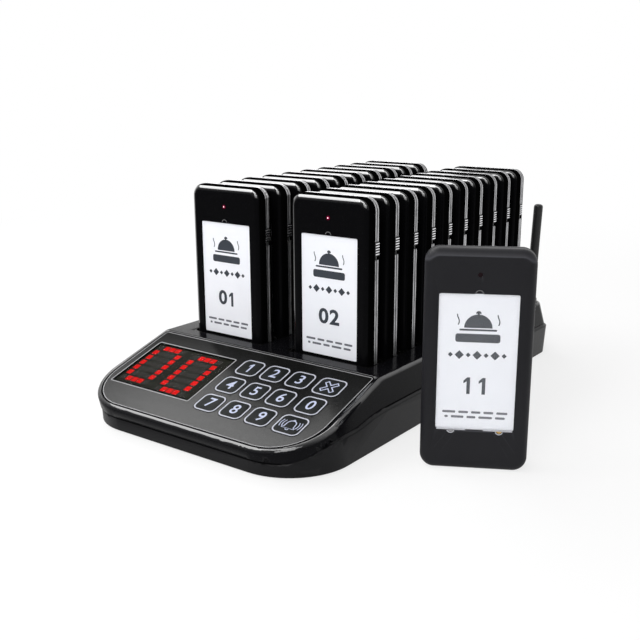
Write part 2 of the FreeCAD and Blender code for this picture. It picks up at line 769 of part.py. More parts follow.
KEYPAD_LEFT = "(key_first_column - key_width / 2 - key_flange - panel_opening_margin)"
KEYPAD_WIDTH = f"(key_last_column + wide_key_width / 2 + key_flange + panel_opening_margin - {KEYPAD_LEFT})"
KEYPAD_LOW = "(-key_first_row - 2 * key_row_pitch - wide_key_length / 2 - key_flange - panel_opening_margin)"
KEYPAD_LENGTH = f"(panel_opening_margin + key_flange + wide_key_length / 2 - key_first_row - {KEYPAD_LOW})"


def panel_screw_places():
    """Where the panel board is screwed up to the panel plate, as (x, y) on the panel."""
    places = []
    for row in ("upper", "lower"):
        for side in ("-", ""):
            places.append((f"{side}{row}_pillar_offset", f"(-{row}_pillar_gap)"))
    return places


def make_overlay():
    sheet_of_overlay = slab("overlay_sheet", "-overlay_width / 2", "overlay_width / 2",
                            "-overlay_top_gap - overlay_length", "-overlay_top_gap", "overlay_front_radius",
                            "-overlay_thickness", "overlay_thickness", "overlay_rear_radius")
    through = "overlay_thickness + 2 * small_overrun"
    below = "-overlay_thickness - small_overrun"
    holes = [slab("window_hole", "-window_left - window_gap", "window_width - window_left + window_gap",
                  "-window_top - window_length - window_gap", "window_gap - window_top", "window_radius",
                  below, through)]
    for name, x, y, width, length in key_places():
        holes.append(slab(f"hole_{name}", f"{x} - {width} / 2 - key_gap", f"{x} + {width} / 2 + key_gap",
                          f"{y} - {length} / 2 - key_gap", f"{y} + {length} / 2 + key_gap",
                          "key_radius + key_gap", below, through))
    return on_panel(node(cut("panel_overlay", sheet_of_overlay, holes), "panel_overlay"))


def make_display_window():
    pane = slab("window_pane", "-window_left", "window_width - window_left", "-window_top - window_length",
                "-window_top", "window_radius", "-overlay_thickness", "overlay_thickness")
    return on_panel(node(group("display_window", [pane]), "display_window"))


def make_digit_modules():
    """Two dot matrix blocks side by side on the board, close under the window."""
    modules = []
    height = f"{STACK_DEPTH} - overlay_thickness - digit_module_clearance"
    for side in (-1, 1):
        x = f"(window_width / 2 - window_left + {side} * (digit_module_width + digit_module_gap) / 2)"
        y = "(-window_top - window_length / 2)"
        modules.append(block(f"digit_{'left' if side < 0 else 'right'}", x, y, f"-{STACK_DEPTH}",
                             "digit_module_width", "digit_module_length", height))
    return on_panel(node(group("digit_modules", modules), "digit_modules"))


def key_places():
    """Each key's name, place on the panel and size: the cross and bell keys are the wide ones."""
    places = []
    for row, names in enumerate(KEY_ROWS):
        for column, name in enumerate(names):
            x = "key_last_column" if column == 3 else f"(key_first_column + {column} * key_column_pitch)"
            y = f"(-key_first_row - {row} * key_row_pitch)"
            wide = name in ("clear", "call")
            width = "wide_key_width" if wide else "key_width"
            length = "wide_key_length" if wide else "key_length"
            places.append((name, x, y, width, length))
    return places


def make_key(name, x, y, width, length):
    """A cap standing through the overlay on a flange that stops against its underside."""
    body = new_body("cap_and_flange_" + name)
    cap = body_sketch(body, f"cap_{name}", "XY_Plane", "-overlay_thickness")
    draw_rounded(cap, f"-{width} / 2", f"{width} / 2", f"-{length} / 2", f"{length} / 2",
                 "key_radius", "key_radius")
    feature(body, "Pad", f"cap_pad_{name}", cap, "overlay_thickness + key_proud")
    flange = body_sketch(body, f"flange_{name}", "XY_Plane", "-overlay_thickness")
    draw_rounded(flange, f"-{width} / 2 - key_flange", f"{width} / 2 + key_flange",
                 f"-{length} / 2 - key_flange", f"{length} / 2 + key_flange", "key_radius", "key_radius")
    feature(body, "Pad", f"flange_pad_{name}", flange, "key_flange_thickness", True)
    return on_panel(node(group("key_" + name, [place(body, x, y)]), "key_" + name))


def make_key_mat():
    """A rubber sheet on the board with a dome under each key, a key's travel below it."""
    margin = "mat_margin"
    low = f"-{STACK_DEPTH}"
    parts = [box("mat_sheet", f"{KEYPAD_LEFT} - {margin}", f"{KEYPAD_LOW} - {margin}", low,
                 f"{KEYPAD_WIDTH} + 2 * {margin}", f"{KEYPAD_LENGTH} + 2 * {margin}", "mat_thickness")]
    height = f"{STACK_DEPTH} - overlay_thickness - key_flange_thickness - key_travel - key_dome_gap"
    for name, x, y, width, length in key_places():
        dome = doc.addObject("Part::Cone", f"dome_{name}")
        bind(dome, "Radius1", "dome_radius")
        bind(dome, "Radius2", "dome_radius / 2")
        bind(dome, "Height", height)
        parts.append(place(dome, x, y, low))
    return on_panel(node(joined("key_mat", parts), "key_mat"))


def make_panel_board():
    board = slab("panel_board_sheet", "-panel_board_width / 2", "panel_board_width / 2",
                 "-panel_board_top_gap - panel_board_length", "-panel_board_top_gap",
                 "panel_board_front_radius", f"-{STACK_DEPTH} - panel_board_thickness",
                 "panel_board_thickness", "panel_board_rear_radius")
    holes = []
    for i, (x, y) in enumerate(panel_screw_places()):
        holes.append(rod(f"panel_board_hole_{i}", x, y, f"-{STACK_DEPTH} - overrun",
                         "screw_radius + screw_hole_gap", "2 * overrun"))
    return on_panel(node(cut("panel_board", board, holes), "panel_board"))


# Slot banks, charging board and contacts

def make_slot_bank(side):
    """Ten slots in one moulding that hangs in the deck's well by a flange under the deck."""
    name = "left" if side < 0 else "right"
    centre = f"{side} * column_offset"
    half = f"({SLOT_LENGTH} / 2 + bank_wall)"
    body_block = box(f"bank_block_{name}", f"{centre} - {half}", BANK_FRONT, BANK_BOTTOM,
                     f"2 * {half}", BANK_LENGTH, f"deck_height - {BANK_BOTTOM}")
    wide = f"({half} + bank_flange)"
    flange = box(f"bank_flange_{name}", f"{centre} - {wide}", f"{BANK_FRONT} - bank_flange",
                 f"{DECK_UNDERSIDE} - bank_flange", f"2 * {wide}", f"{BANK_LENGTH} + bank_flange", "bank_flange")
    posts = []
    for i, across in enumerate((-1, 1)):
        for j, along in enumerate(("bank_wall + bank_post_radius", f"{BANK_LENGTH} - board_rear_margin - bank_wall"
                                   " - bank_post_radius")):
            x = f"{centre} + {across} * ({half} - bank_wall - bank_post_radius)"
            posts.append(rod(f"bank_post_{name}_{i}_{j}", x, f"{BANK_FRONT} + {along}", BOARD_TOP,
                             "bank_post_radius", "board_gap"))
    slots = []
    for row in range(SLOTS_PER_COLUMN):
        front = f"({FIRST_FRONT} + {row} * slot_pitch - slot_gap)"
        slots.append(slab(f"slot_{name}_{row}", f"{centre} - {SLOT_LENGTH} / 2", f"{centre} + {SLOT_LENGTH} / 2",
                          front, f"{front} + {SLOT_WIDTH}", "slot_radius", "slot_floor_height",
                          "deck_height - slot_floor_height + overrun"))
        for pad in (-1, 1):
            slots.append(block(f"contact_hole_{name}_{row}_{pad}", f"{centre} + {pad} * pad_offset",
                               f"({front} + slot_gap + pad_place)", f"{BANK_BOTTOM} - small_overrun",
                               "(pad_width + 2 * contact_gap)", "(pad_depth + 2 * contact_gap)",
                               "bank_floor + 2 * small_overrun"))
    slotted = cut(f"bank_slotted_{name}", joined(f"bank_solid_{name}", [body_block, flange] + posts), slots)
    deck, small = value("deck_height"), value("small_overrun")
    left, right = value(f"{centre} - {half}"), value(f"{centre} + {half}")
    front, rear = value(BANK_FRONT), value(f"{BANK_FRONT} + {BANK_LENGTH}")

    def slot_rim(edge):
        box_of_edge = edge.BoundBox
        inside = box_of_edge.XMin > left + small and box_of_edge.XMax < right - small
        inside = inside and box_of_edge.YMin > front + small and box_of_edge.YMax < rear - small
        return inside and box_of_edge.ZMin > deck - TOUCHING

    return node(dress("Chamfer", f"slot_bank_{name}", slotted, "slot_lead_in", slot_rim), f"slot_bank_{name}")


def make_charging_board():
    half = f"(column_offset + {SLOT_LENGTH} / 2 + board_side_margin)"
    front = f"({BANK_FRONT} + board_front_margin - board_side_margin - bank_wall)"
    board = box("charging_board_sheet", "-" + half, front, f"{BOARD_TOP} - board_thickness", f"2 * {half}",
                f"{BOARD_REAR} - {front}", "board_thickness")
    holes = []
    for i, (x, y) in enumerate(standoff_places()):
        holes.append(rod(f"charging_board_hole_{i}", x, y, "0", "screw_radius + screw_hole_gap",
                         f"{BOARD_TOP} + overrun"))
    return node(cut("charging_board", board, holes), "charging_board")


def make_charging_contacts():
    """Two spring blades for each slot, drawn pressed down by the pager that stands on them."""
    blades = []
    for side in (-1, 1):
        for row in range(SLOTS_PER_COLUMN):
            for pad in (-1, 1):
                blades.append(block(f"blade_{side}_{row}_{pad}", f"({side} * column_offset + {pad} * pad_offset)",
                                    f"({FIRST_FRONT} + {row} * slot_pitch + pad_place)", BOARD_TOP,
                                    "pad_width", "pad_depth", f"slot_floor_height - {BOARD_TOP}"))
    return node(group("charging_contacts", blades), "charging_contacts")


# Screws

def make_screws():
    """The base's fourteen screws, all alike: six in the case and four in each board."""
    points = [("0", "0"), ("screw_head_radius", "0"), ("screw_head_radius", "screw_head_height"),
              ("screw_radius", "screw_head_height"), ("screw_radius", "screw_head_height + screw_length"),
              ("0", "screw_head_height + screw_length")]
    pattern = turned("screw_pattern", points)
    screws = []
    for i, (x, y) in enumerate(screw_places()):
        screw = group(f"case_screw_{i}", [pattern])
        screws.append(place(screw, x, y, "boss_split_height - boss_seat - screw_head_height"))
    for i, (x, y) in enumerate(standoff_places()):
        screw = group(f"board_screw_{i}", [pattern])
        screw.Placement = Placement(Vector(0, 0, 0), Rotation(Vector(1, 0, 0), 180))
        screws.append(place(screw, x, y, f"{BOARD_TOP} + screw_head_height"))
    on_slope = []
    for i, (x, y) in enumerate(panel_screw_places()):
        screw = group(f"panel_screw_{i}", [pattern])
        on_slope.append(place(screw, x, y, f"-{STACK_DEPTH} - panel_board_thickness - screw_head_height"))
    screws.append(on_panel(group("panel_screws", on_slope)))
    return node(group("housing_screws", screws), "housing_screws")


# Power inlet

def make_inlet():
    """A barrel socket in the rear wall, with its centre pin."""
    front = f"({REAR_WALL} - tray_wall - tray_flare - inlet_length)"
    block_of_inlet = box("inlet_block", "-inlet_width / 2", front, "inlet_centre_height - inlet_height / 2",
                         "inlet_width", "inlet_length", "inlet_height")
    nose = rod("inlet_nose", "0", f"{front} + inlet_length - small_overrun", "inlet_centre_height",
               "inlet_nose_radius", "tray_wall + small_overrun + tray_flare / 3", "Y")
    mouth = f"({front} + inlet_length + tray_wall + tray_flare / 3)"
    bore = rod("inlet_bore", "0", f"{mouth} - inlet_bore_depth", "inlet_centre_height", "inlet_bore_radius",
               "inlet_bore_depth + overrun", "Y")
    pin = rod("inlet_pin", "0", f"{mouth} - inlet_bore_depth - small_overrun", "inlet_centre_height",
              "inlet_pin_radius", "inlet_bore_depth - inlet_pin_setback", "Y")
    shell = cut("inlet_shell", joined("inlet_solid", [block_of_inlet, nose]), [bore])
    return node(joined("power_inlet", [shell, pin]), "power_inlet")


# Aerial: connector on the rear wall, swivelling fork and folding rod

AERIAL_PIVOT = f"({REAR_WALL} + aerial_pivot_setback)"


def make_aerial_connector():
    """A threaded stub through the rear wall, with a flange inside and a nut outside."""
    inside = f"({REAR_WALL} - tray_wall - tray_flare)"
    parts = [
        rod("aerial_flange", "aerial_offset", f"{inside} - aerial_flange_thickness", "aerial_height",
            "aerial_flange_radius", "aerial_flange_thickness", "Y"),
        rod("aerial_stub", "aerial_offset", f"{inside} - small_overrun", "aerial_height",
            "aerial_thread_radius", f"{REAR_WALL} + aerial_thread_length - {inside} + small_overrun", "Y"),
    ]
    nut = doc.addObject("Part::Prism", "aerial_nut")
    nut.Polygon = 6
    bind(nut, "Circumradius", "aerial_nut_radius")
    bind(nut, "Height", "aerial_nut_thickness")
    nut.Placement = Placement(Vector(0, 0, 0), Rotation(Vector(1, 0, 0), -90))
    parts.append(place(nut, "aerial_offset", f"{REAR_WALL} - tray_flare / 8", "aerial_height"))
    return node(joined("aerial_connector", parts), "aerial_connector")


def leaning(thing):
    """Stands an aerial piece, drawn about its own pivot, on the pivot behind the base."""
    thing.Placement = Placement(Vector(0, 0, 0), Rotation(Vector(0, 1, 0), 1))
    bind(thing, "Placement.Rotation.Angle", "aerial_lean")
    return place(thing, "aerial_offset", AERIAL_PIVOT, "aerial_height")


def make_aerial_swivel():
    """A knurled collar on the stub, a fork with two ears, and the fold pin across them."""
    back = "(-aerial_pivot_setback + aerial_nut_thickness + aerial_running_gap)"
    collar = rod("aerial_collar", "0", back, "0", "aerial_collar_radius", "aerial_collar_length", "Y")
    web_end = f"({back} + aerial_collar_length)"
    ear_gap = "(aerial_tongue_thickness / 2 + aerial_fork_gap)"
    parts = [collar]
    for side in (-1, 1):
        low = f"{ear_gap}" if side > 0 else f"-{ear_gap} - aerial_ear_thickness"
        arm = box(f"aerial_arm_{side}", low, f"{web_end} - aerial_collar_end", "-aerial_fork_radius",
                  "aerial_ear_thickness", f"aerial_collar_end - {web_end}", "2 * aerial_fork_radius")
        ear = rod(f"aerial_ear_{side}", low, "0", "0", "aerial_fork_radius", "aerial_ear_thickness", "X")
        parts += [arm, ear]
    parts.append(rod("aerial_pin", f"-{ear_gap} - aerial_ear_thickness", "0", "0", "aerial_pin_radius",
                     f"2 * ({ear_gap} + aerial_ear_thickness)", "X"))
    stub = rod("aerial_stub_bore", "0", f"{back} - small_overrun", "0",
               "aerial_thread_radius + aerial_running_gap",
               f"aerial_thread_length - aerial_pivot_setback + aerial_running_gap - {back} + small_overrun", "Y")
    return leaning(node(cut("aerial_swivel", joined("aerial_fork", parts), [stub]), "aerial_swivel"))


def make_aerial_rod():
    """A rubber whip with a flat tongue that turns on the fold pin."""
    whip = turned("aerial_whip", [
        ("0", "aerial_neck_height"), ("aerial_rod_radius * aerial_neck_share", "aerial_neck_height"),
        ("aerial_rod_radius", "aerial_neck_height + aerial_rod_radius / 2"),
        ("aerial_rod_radius", "aerial_rod_top - aerial_rod_radius / 2"),
        ("aerial_rod_radius * aerial_shoulder_share", "aerial_rod_top - aerial_rod_radius / 6"),
        ("aerial_rod_radius * aerial_crown_share", "aerial_rod_top"), ("0", "aerial_rod_top")])
    half = "(aerial_tongue_thickness / 2)"
    tongue = box("aerial_tongue", "-" + half, "-aerial_eye_radius", "0", "aerial_tongue_thickness",
                 "2 * aerial_eye_radius", "aerial_neck_height + aerial_eye_radius")
    eye = rod("aerial_eye", "-" + half, "0", "0", "aerial_eye_radius", "aerial_tongue_thickness", "X")
    bore = rod("aerial_eye_bore", "-" + half + " - small_overrun", "0", "0", "aerial_pin_radius + aerial_running_gap",
               "aerial_tongue_thickness + 2 * small_overrun", "X")
    return leaning(node(cut("aerial_rod", joined("aerial_rod_solid", [whip, tongue, eye]), [bore]), "aerial_rod"))


# Pager, drawn with its front face on y = 0, its bottom on z = 0 and its back towards +Y

def at_depth(text):
    depth = value(text)
    return lambda edge: abs(edge.BoundBox.YMin - depth) < TOUCHING and abs(edge.BoundBox.YMax - depth) < TOUCHING


def draw_pager(sketch, inset):
    draw_rounded(sketch, f"({inset}) - pager_width / 2", f"pager_width / 2 - ({inset})", inset,
                 f"pager_height - ({inset})", f"pager_corner_radius - ({inset})", f"pager_corner_radius - ({inset})")


def front_shell_body(name, edge_kind, edge_size):
    """The front half with its eased front edge and the card's recess."""
    body = new_body(name)
    sketch = body_sketch(body, name + "_outline", "XZ_Plane")
    draw_pager(sketch, "0")
    feature(body, "Pad", name + "_pad", sketch, "pager_seam_depth", True)
    body_edge(body, edge_kind, name + "_edge", edge_size, at_depth("0"))
    recess = body_sketch(body, name + "_card_recess", "XZ_Plane")
    draw_rounded(recess, "-card_width / 2", "card_width / 2", "card_bottom", "card_bottom + card_height",
                 "card_radius", "card_radius")
    pocket(body, name + "_card_pocket", recess, "card_recess")
    return body


def back_shell_body(name, edge_kind, edge_size):
    """The back half: a narrow neck that leaves the seam, then the back with its eased edge."""
    body = new_body(name)
    neck = body_sketch(body, name + "_neck", "XZ_Plane", "-pager_seam_depth")
    draw_pager(neck, "pager_seam_inset")
    feature(body, "Pad", name + "_neck_pad", neck, "pager_seam_width", True)
    sketch = body_sketch(body, name + "_outline", "XZ_Plane", "-pager_seam_depth - pager_seam_width")
    draw_pager(sketch, "0")
    feature(body, "Pad", name + "_pad", sketch, "pager_thickness - pager_seam_depth - pager_seam_width", True)
    body_edge(body, edge_kind, name + "_edge", edge_size, at_depth("pager_thickness"))
    return body


def make_free_front():
    body = front_shell_body("free_front", "Fillet", "pager_front_radius")
    notch = body_sketch(body, "finger_notch", "XZ_Plane")
    draw_circle(notch, "0", "card_bottom + card_height", "finger_notch_radius")
    pocket(body, "finger_notch_pocket", notch, "card_recess")
    for side in (-1, 1):
        clip = body_sketch(body, f"clip_notch_{'left' if side < 0 else 'right'}", "XZ_Plane")
        draw_rounded(clip, f"{side} * clip_notch_offset - clip_notch_width / 2",
                     f"{side} * clip_notch_offset + clip_notch_width / 2", "card_bottom - clip_notch_height",
                     "card_bottom + clip_notch_height", "clip_notch_height / 4", "clip_notch_height / 4")
        pocket(body, clip.Name + "_pocket", clip, "card_recess / 2")
    room = body_sketch(body, "front_room", "XZ_Plane", "-pager_seam_depth")
    draw_pager(room, "pager_wall")
    pocket(body, "front_room_pocket", room, "pager_seam_depth - card_recess - pager_wall", True)
    led = body_sketch(body, "led_hole", "XZ_Plane")
    draw_circle(led, "0", LED_HEIGHT, "led_radius + led_gap")
    pocket(body, "led_hole_pocket", led, "card_recess + pager_wall + small_overrun")
    tools = [switch_room("front_switch_room")]
    for side in (-1, 1):
        tools.append(block(f"pad_hole_{side}", f"{side} * pad_offset", "pad_place", "-small_overrun",
                           "(pad_width + 2 * pad_gap)", "(pad_depth + 2 * pad_gap)",
                           "pager_wall + 2 * small_overrun"))
    return cut("free_front_piece", body, tools)


LED_HEIGHT = "(card_bottom + card_height + led_rise)"
BOARD_BACK = "(card_recess + pager_wall + pager_board_seat + pager_board_thickness)"
SWITCH_TOP = "(pager_height - switch_top)"


def switch_room(name):
    """The switch's slot in the right side, across the seam, with a slit for its stem."""
    centre = "(pager_seam_depth + pager_seam_width / 2)"
    wide = "(switch_knob_width + 2 * switch_gap)"
    slot = box(name + "_slot", "pager_width / 2 - switch_slot_depth", f"{centre} - {wide} / 2",
               f"{SWITCH_TOP} - switch_slot_length", "switch_slot_depth + overrun", wide, "switch_slot_length")
    slit_width = "(switch_stem_width + 2 * switch_gap)"
    slit_length = "(switch_stem_length + switch_travel + 2 * switch_gap)"
    middle = f"({SWITCH_TOP} - switch_gap - switch_knob_length / 2)"
    slit = box(name + "_slit", "pager_width / 2 - switch_stem_reach - overrun / 6", f"{centre} - {slit_width} / 2",
               f"{middle} + switch_stem_length / 2 + switch_gap - {slit_length}", "overrun", slit_width, slit_length)
    return joined(name, [slot, slit])


def make_switch():
    """The ribbed slider, with a stem that reaches in through the slit to the board's edge."""
    centre = "(pager_seam_depth + pager_seam_width / 2)"
    top = f"({SWITCH_TOP} - switch_gap)"
    face = "(pager_width / 2 + switch_knob_proud - switch_rib_height)"
    knob = box("switch_knob", "pager_width / 2 - switch_slot_depth + switch_gap", f"{centre} - switch_knob_width / 2",
               f"{top} - switch_knob_length", f"{face} - pager_width / 2 + switch_slot_depth - switch_gap",
               "switch_knob_width", "switch_knob_length")
    parts = [knob]
    for rib in range(5):
        low = f"{top} - switch_knob_length / 2 + ({rib} - 2) * switch_rib_pitch - switch_rib_width / 2"
        parts.append(box(f"switch_rib_{rib}", f"{face} - small_overrun / 5", f"{centre} - switch_knob_width / 2", low,
                         "switch_rib_height + small_overrun / 5", "switch_knob_width", "switch_rib_width"))
    parts.append(box("switch_stem", "pager_width / 2 - switch_stem_reach", f"{centre} - switch_stem_width / 2",
                     f"{top} - switch_knob_length / 2 - switch_stem_length / 2",
                     "switch_stem_reach", "switch_stem_width", "switch_stem_length"))
    return joined("switch_piece", parts)


def make_free_back():
    body = back_shell_body("free_back", "Fillet", "pager_back_radius")
    room = body_sketch(body, "back_room", "XZ_Plane", "-pager_seam_depth")
    draw_pager(room, "pager_wall + pager_seam_inset")
    pocket(body, "back_room_pocket", room, "pager_thickness - pager_seam_depth - pager_wall - pager_seam_inset")
    return cut("free_back_piece", body, [switch_room("back_switch_room")])


def make_card(name):
    sketch = body_sketch(new_body(name), name + "_outline", "XZ_Plane", "-card_recess")
    draw_rounded(sketch, "card_gap - card_width / 2", "card_width / 2 - card_gap", "card_bottom + card_gap",
                 "card_bottom + card_height - card_gap", "card_radius", "card_radius")
    body = sketch.getParentGeoFeatureGroup()
    feature(body, "Pad", name + "_pad", sketch, "card_thickness")
    return body


def make_card_window():
    body = new_body("card_window")
    sketch = body_sketch(body, "card_window_outline", "XZ_Plane", "card_thickness - card_recess")
    draw_rounded(sketch, "card_gap - card_width / 2", "card_width / 2 - card_gap", "card_bottom + card_gap",
                 "card_bottom + card_height - card_gap", "card_radius", "card_radius")
    feature(body, "Pad", "card_window_pad", sketch, "card_window_thickness")
    return body


def make_led():
    """A light pipe from the board to just proud of the front face, its end domed."""
    pipe = turned("led_pipe", [
        ("0", "0"), ("led_radius", "0"), ("led_radius", "card_recess + pager_wall + pager_board_seat"),
        ("led_radius * led_dome_share", "card_recess + pager_wall + pager_board_seat + led_proud * led_dome_share"),
        ("0", "card_recess + pager_wall + pager_board_seat + led_proud")])
    pipe.Placement = Placement(Vector(0, 0, 0), Rotation(Vector(1, 0, 0), 90))
    return place(pipe, "0", "card_recess + pager_wall + pager_board_seat", LED_HEIGHT)


def stand_free(thing, label):
    """Stands a piece of the free pager beside the base, turned about its front edge's middle."""
    holder = group(label, [thing])
    holder.Placement = Placement(Vector(0, 0, 0), Rotation(Vector(0, 0, 1), 1))
    bind(holder, "Placement.Rotation.Angle", "free_pager_turn")
    return node(place(holder, "free_pager_across", "free_pager_back - tray_length / 2"), label)


def make_free_pager():
    name = f"pager_{FREE_PAGER_NUMBER}"
    board_low = "((pager_height - pager_board_height) / 2)"
    stand_free(make_free_front(), name + "_front_shell")
    stand_free(make_free_back(), name + "_back_shell")
    stand_free(make_card("free_card"), name + "_card")
    stand_free(make_card_window(), name + "_card_window")
    stand_free(block("free_board", "0", f"({BOARD_BACK} - pager_board_thickness / 2)", board_low,
                     "pager_board_width", "pager_board_thickness", "pager_board_height"), name + "_board")
    cell = box("battery_cell", "-battery_width / 2", f"{BOARD_BACK} + pager_board_seat", "battery_bottom",
               "battery_width", "battery_thickness", "battery_height")
    stand_free(dress("Fillet", "battery_rounded", cell, "battery_edge_radius",
                     lambda edge: abs(edge.BoundBox.ZLength - value("battery_height")) < value("small_overrun")),
               name + "_battery")
    stand_free(rod("motor_can", "-motor_length / 2", f"{BOARD_BACK} + pager_board_seat + motor_radius",
                   "motor_height", "motor_radius", "motor_length", "X"), name + "_motor")
    stand_free(make_led(), name + "_led")
    pads = [block(f"pad_{side}", f"{side} * pad_offset", "pad_place", "0", "pad_width", "pad_depth", "pad_height")
            for side in (-1, 1)]
    stand_free(group("free_pads", pads), name + "_contacts")
    stand_free(make_switch(), name + "_switch")


def make_docked_pagers():
    """Twenty pagers in the slots, each its two shells, its card and its lamp.

    Their edges are chamfers, which have fewer faces than the free pager's round ones.
    """
    front = front_shell_body("docked_front", "Chamfer", "docked_front_chamfer")
    back = back_shell_body("docked_back", "Chamfer", "docked_back_chamfer")
    card = make_card("docked_card")
    lamp = rod("docked_lamp", "0", "-led_proud", LED_HEIGHT, "led_radius", "led_proud", "Y")
    number = 0
    for row in range(SLOTS_PER_COLUMN):
        for side in (-1, 1):
            number += 1
            if number == FREE_PAGER_NUMBER:
                number += 1
            label = f"pager_{number:02d}"
            pager = group(label, [front, back, card, lamp])
            place(pager, f"{side} * column_offset", f"{FIRST_FRONT} + {row} * slot_pitch", "slot_floor_height")
            node(pager, label)


# Everything, then the checks and the files

make_lower_tray()
make_feet()
make_upper_housing()
make_overlay()
make_display_window()
make_digit_modules()
for name, x, y, width, length in key_places():
    make_key(name, x, y, width, length)
make_key_mat()
make_panel_board()
make_slot_bank(-1)
make_slot_bank(1)
make_charging_board()
make_charging_contacts()
make_screws()
make_inlet()
make_aerial_connector()
make_aerial_swivel()
make_aerial_rod()
make_free_pager()
make_docked_pagers()
doc.recompute()

for thing in doc.Objects:
    if "Invalid" in thing.State or "Error" in thing.State:
        raise RuntimeError(thing.Name + " failed: " + ", ".join(thing.State))
for thing in nodes:
    if thing.Shape.isNull() or not thing.Shape.isValid() or not thing.Shape.Solids:
        raise RuntimeError(thing.Label + " has no valid solid")

os.makedirs("parts", exist_ok=True)
for thing in nodes:
    thing.Shape.exportStep("parts/" + thing.Label + ".step")
    print(thing.Label, len(thing.Shape.Solids), "solids", round(thing.Shape.Volume), "mm3")
print(len(nodes), "nodes")
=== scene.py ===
# %% [markdown]
# The pager system is dressed here: a black charging base with a sloping key panel, twenty
# glossy pagers standing in two columns, one matt pager in front, and a short aerial. The
# imported CAD model is the fixed frame.

# %% Load the frame
from math import cos, degrees, pi, radians, sin

import bpy
from mathutils import Matrix, Vector


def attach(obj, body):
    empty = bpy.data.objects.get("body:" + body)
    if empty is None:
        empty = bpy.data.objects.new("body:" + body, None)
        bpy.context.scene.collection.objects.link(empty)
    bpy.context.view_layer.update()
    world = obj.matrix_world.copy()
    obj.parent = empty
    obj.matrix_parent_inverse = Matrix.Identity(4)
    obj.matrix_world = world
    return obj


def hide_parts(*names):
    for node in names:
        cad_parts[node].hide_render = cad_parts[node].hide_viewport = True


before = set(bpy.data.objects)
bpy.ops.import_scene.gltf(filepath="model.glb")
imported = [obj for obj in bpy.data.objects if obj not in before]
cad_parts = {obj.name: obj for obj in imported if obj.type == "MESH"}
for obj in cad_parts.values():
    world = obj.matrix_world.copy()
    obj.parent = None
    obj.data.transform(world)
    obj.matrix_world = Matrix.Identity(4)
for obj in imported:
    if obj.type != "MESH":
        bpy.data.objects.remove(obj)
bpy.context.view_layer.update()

MM = 0.001

# %% [markdown]
# The camera comes first, because every later choice is judged through it. The photograph was
# taken from the right of the keypad, a little above the pagers, with a lens of middling
# length. Its place was found by fitting the base's corners.

# %% Camera
CAMERA_PLACE = Vector((0.3175, -0.4477, 0.1868))
CAMERA_TURN = radians(36.58)
CAMERA_PITCH = radians(15.0)
CAMERA_ROLL = radians(0.22)
CAMERA_LENS = 50.985

bpy.ops.object.camera_add(location=CAMERA_PLACE)
camera = bpy.context.object
aim = Matrix.Rotation(CAMERA_TURN, 4, "Z") @ Matrix.Rotation(radians(90) - CAMERA_PITCH, 4, "X")
camera.rotation_euler = (aim @ Matrix.Rotation(-CAMERA_ROLL, 4, "Z")).to_euler()
camera.data.sensor_width = 36
camera.data.lens = CAMERA_LENS
camera.data.clip_start = 10 * MM
bpy.context.scene.camera = camera
bpy.context.scene.view_settings.view_transform = "Standard"
print("camera at", [round(v, 3) for v in CAMERA_PLACE], "turned", round(degrees(CAMERA_TURN), 1), "degrees")

# %% [markdown]
# A material is a tree of nodes, but most of it is sums: a mask times a depth, one minus a
# mask. This class wraps one socket of a material, and each operator on it adds the Math node
# that does the sum. Every other kind of node comes from its node method.

# %% Shader sums
class Wire:
    """An output socket that plain Python sums can be written on."""

    def __init__(self, tree, socket):
        self.tree = tree
        self.socket = socket

    def node(self, kind, settings=None, inputs=None, output=0):
        """Adds a node of a type, its settings first and then its sockets by name or number."""
        made = self.tree.nodes.new("ShaderNode" + kind)
        for name, setting in (settings or {}).items():
            if name == "stops":
                fill_ramp(made.color_ramp, setting)
            else:
                setattr(made, name, setting)
        for name, given in (inputs or {}).items():
            if isinstance(given, Wire):
                self.tree.links.new(given.socket, made.inputs[name])
            else:
                made.inputs[name].default_value = given
        return Wire(self.tree, made.outputs[output])

    def maths(self, operation, first, second):
        return self.node("Math", {"operation": operation}, {0: first, 1: second})

    def __add__(self, other):
        return self.maths("ADD", self, other)

    def __sub__(self, other):
        return self.maths("SUBTRACT", self, other)

    def __rsub__(self, other):
        return self.maths("SUBTRACT", other, self)

    def __mul__(self, other):
        return self.maths("MULTIPLY", self, other)

    def __gt__(self, other):
        return self.maths("GREATER_THAN", self, other)


def fill_ramp(ramp, stops):
    """Sets a colour ramp from (place, colour) pairs."""
    while len(ramp.elements) < len(stops):
        ramp.elements.new(1.0)
    for element, (place, colour) in zip(ramp.elements, stops):
        element.position = place
        element.color = (*colour, 1.0)


def new_material(name, **sockets):
    """A material whose shader's plain values are set on its own sockets."""
    material = bpy.data.materials.new(name)
    material.use_nodes = True
    tree = material.node_tree
    shader = tree.nodes["Principled BSDF"]
    for socket, setting in sockets.items():
        shader.inputs[socket.replace("_", " ")].default_value = setting
    coords = tree.nodes.new("ShaderNodeTexCoord")
    return material, shader, Wire(tree, coords.outputs["Object"])


def feed(shader, socket, wire):
    wire.tree.links.new(wire.socket, shader.inputs[socket])


def noise(place, scale, detail=2.0, roughness=0.5):
    """Noise whose scale is given as bumps to the metre."""
    inputs = {"Vector": place, "Scale": scale, "Detail": detail, "Roughness": roughness}
    return place.node("TexNoise", None, inputs)


def blend_colours(place, factor, first, second):
    """Goes from the first colour to the second as the factor goes from 0 to 1."""
    return place.node("Mix", {"data_type": "RGBA"}, {0: factor, 6: (*first, 1.0), 7: (*second, 1.0)}, 2)


def ranged(value, low, high, at_low, at_high, kind="LINEAR"):
    """Maps a value between two limits to another range, and holds it beyond them."""
    inputs = {"Value": value, "From Min": low, "From Max": high, "To Min": at_low, "To Max": at_high}
    return value.node("MapRange", {"interpolation_type": kind}, inputs)


def grey(level):
    return (level, level, level)


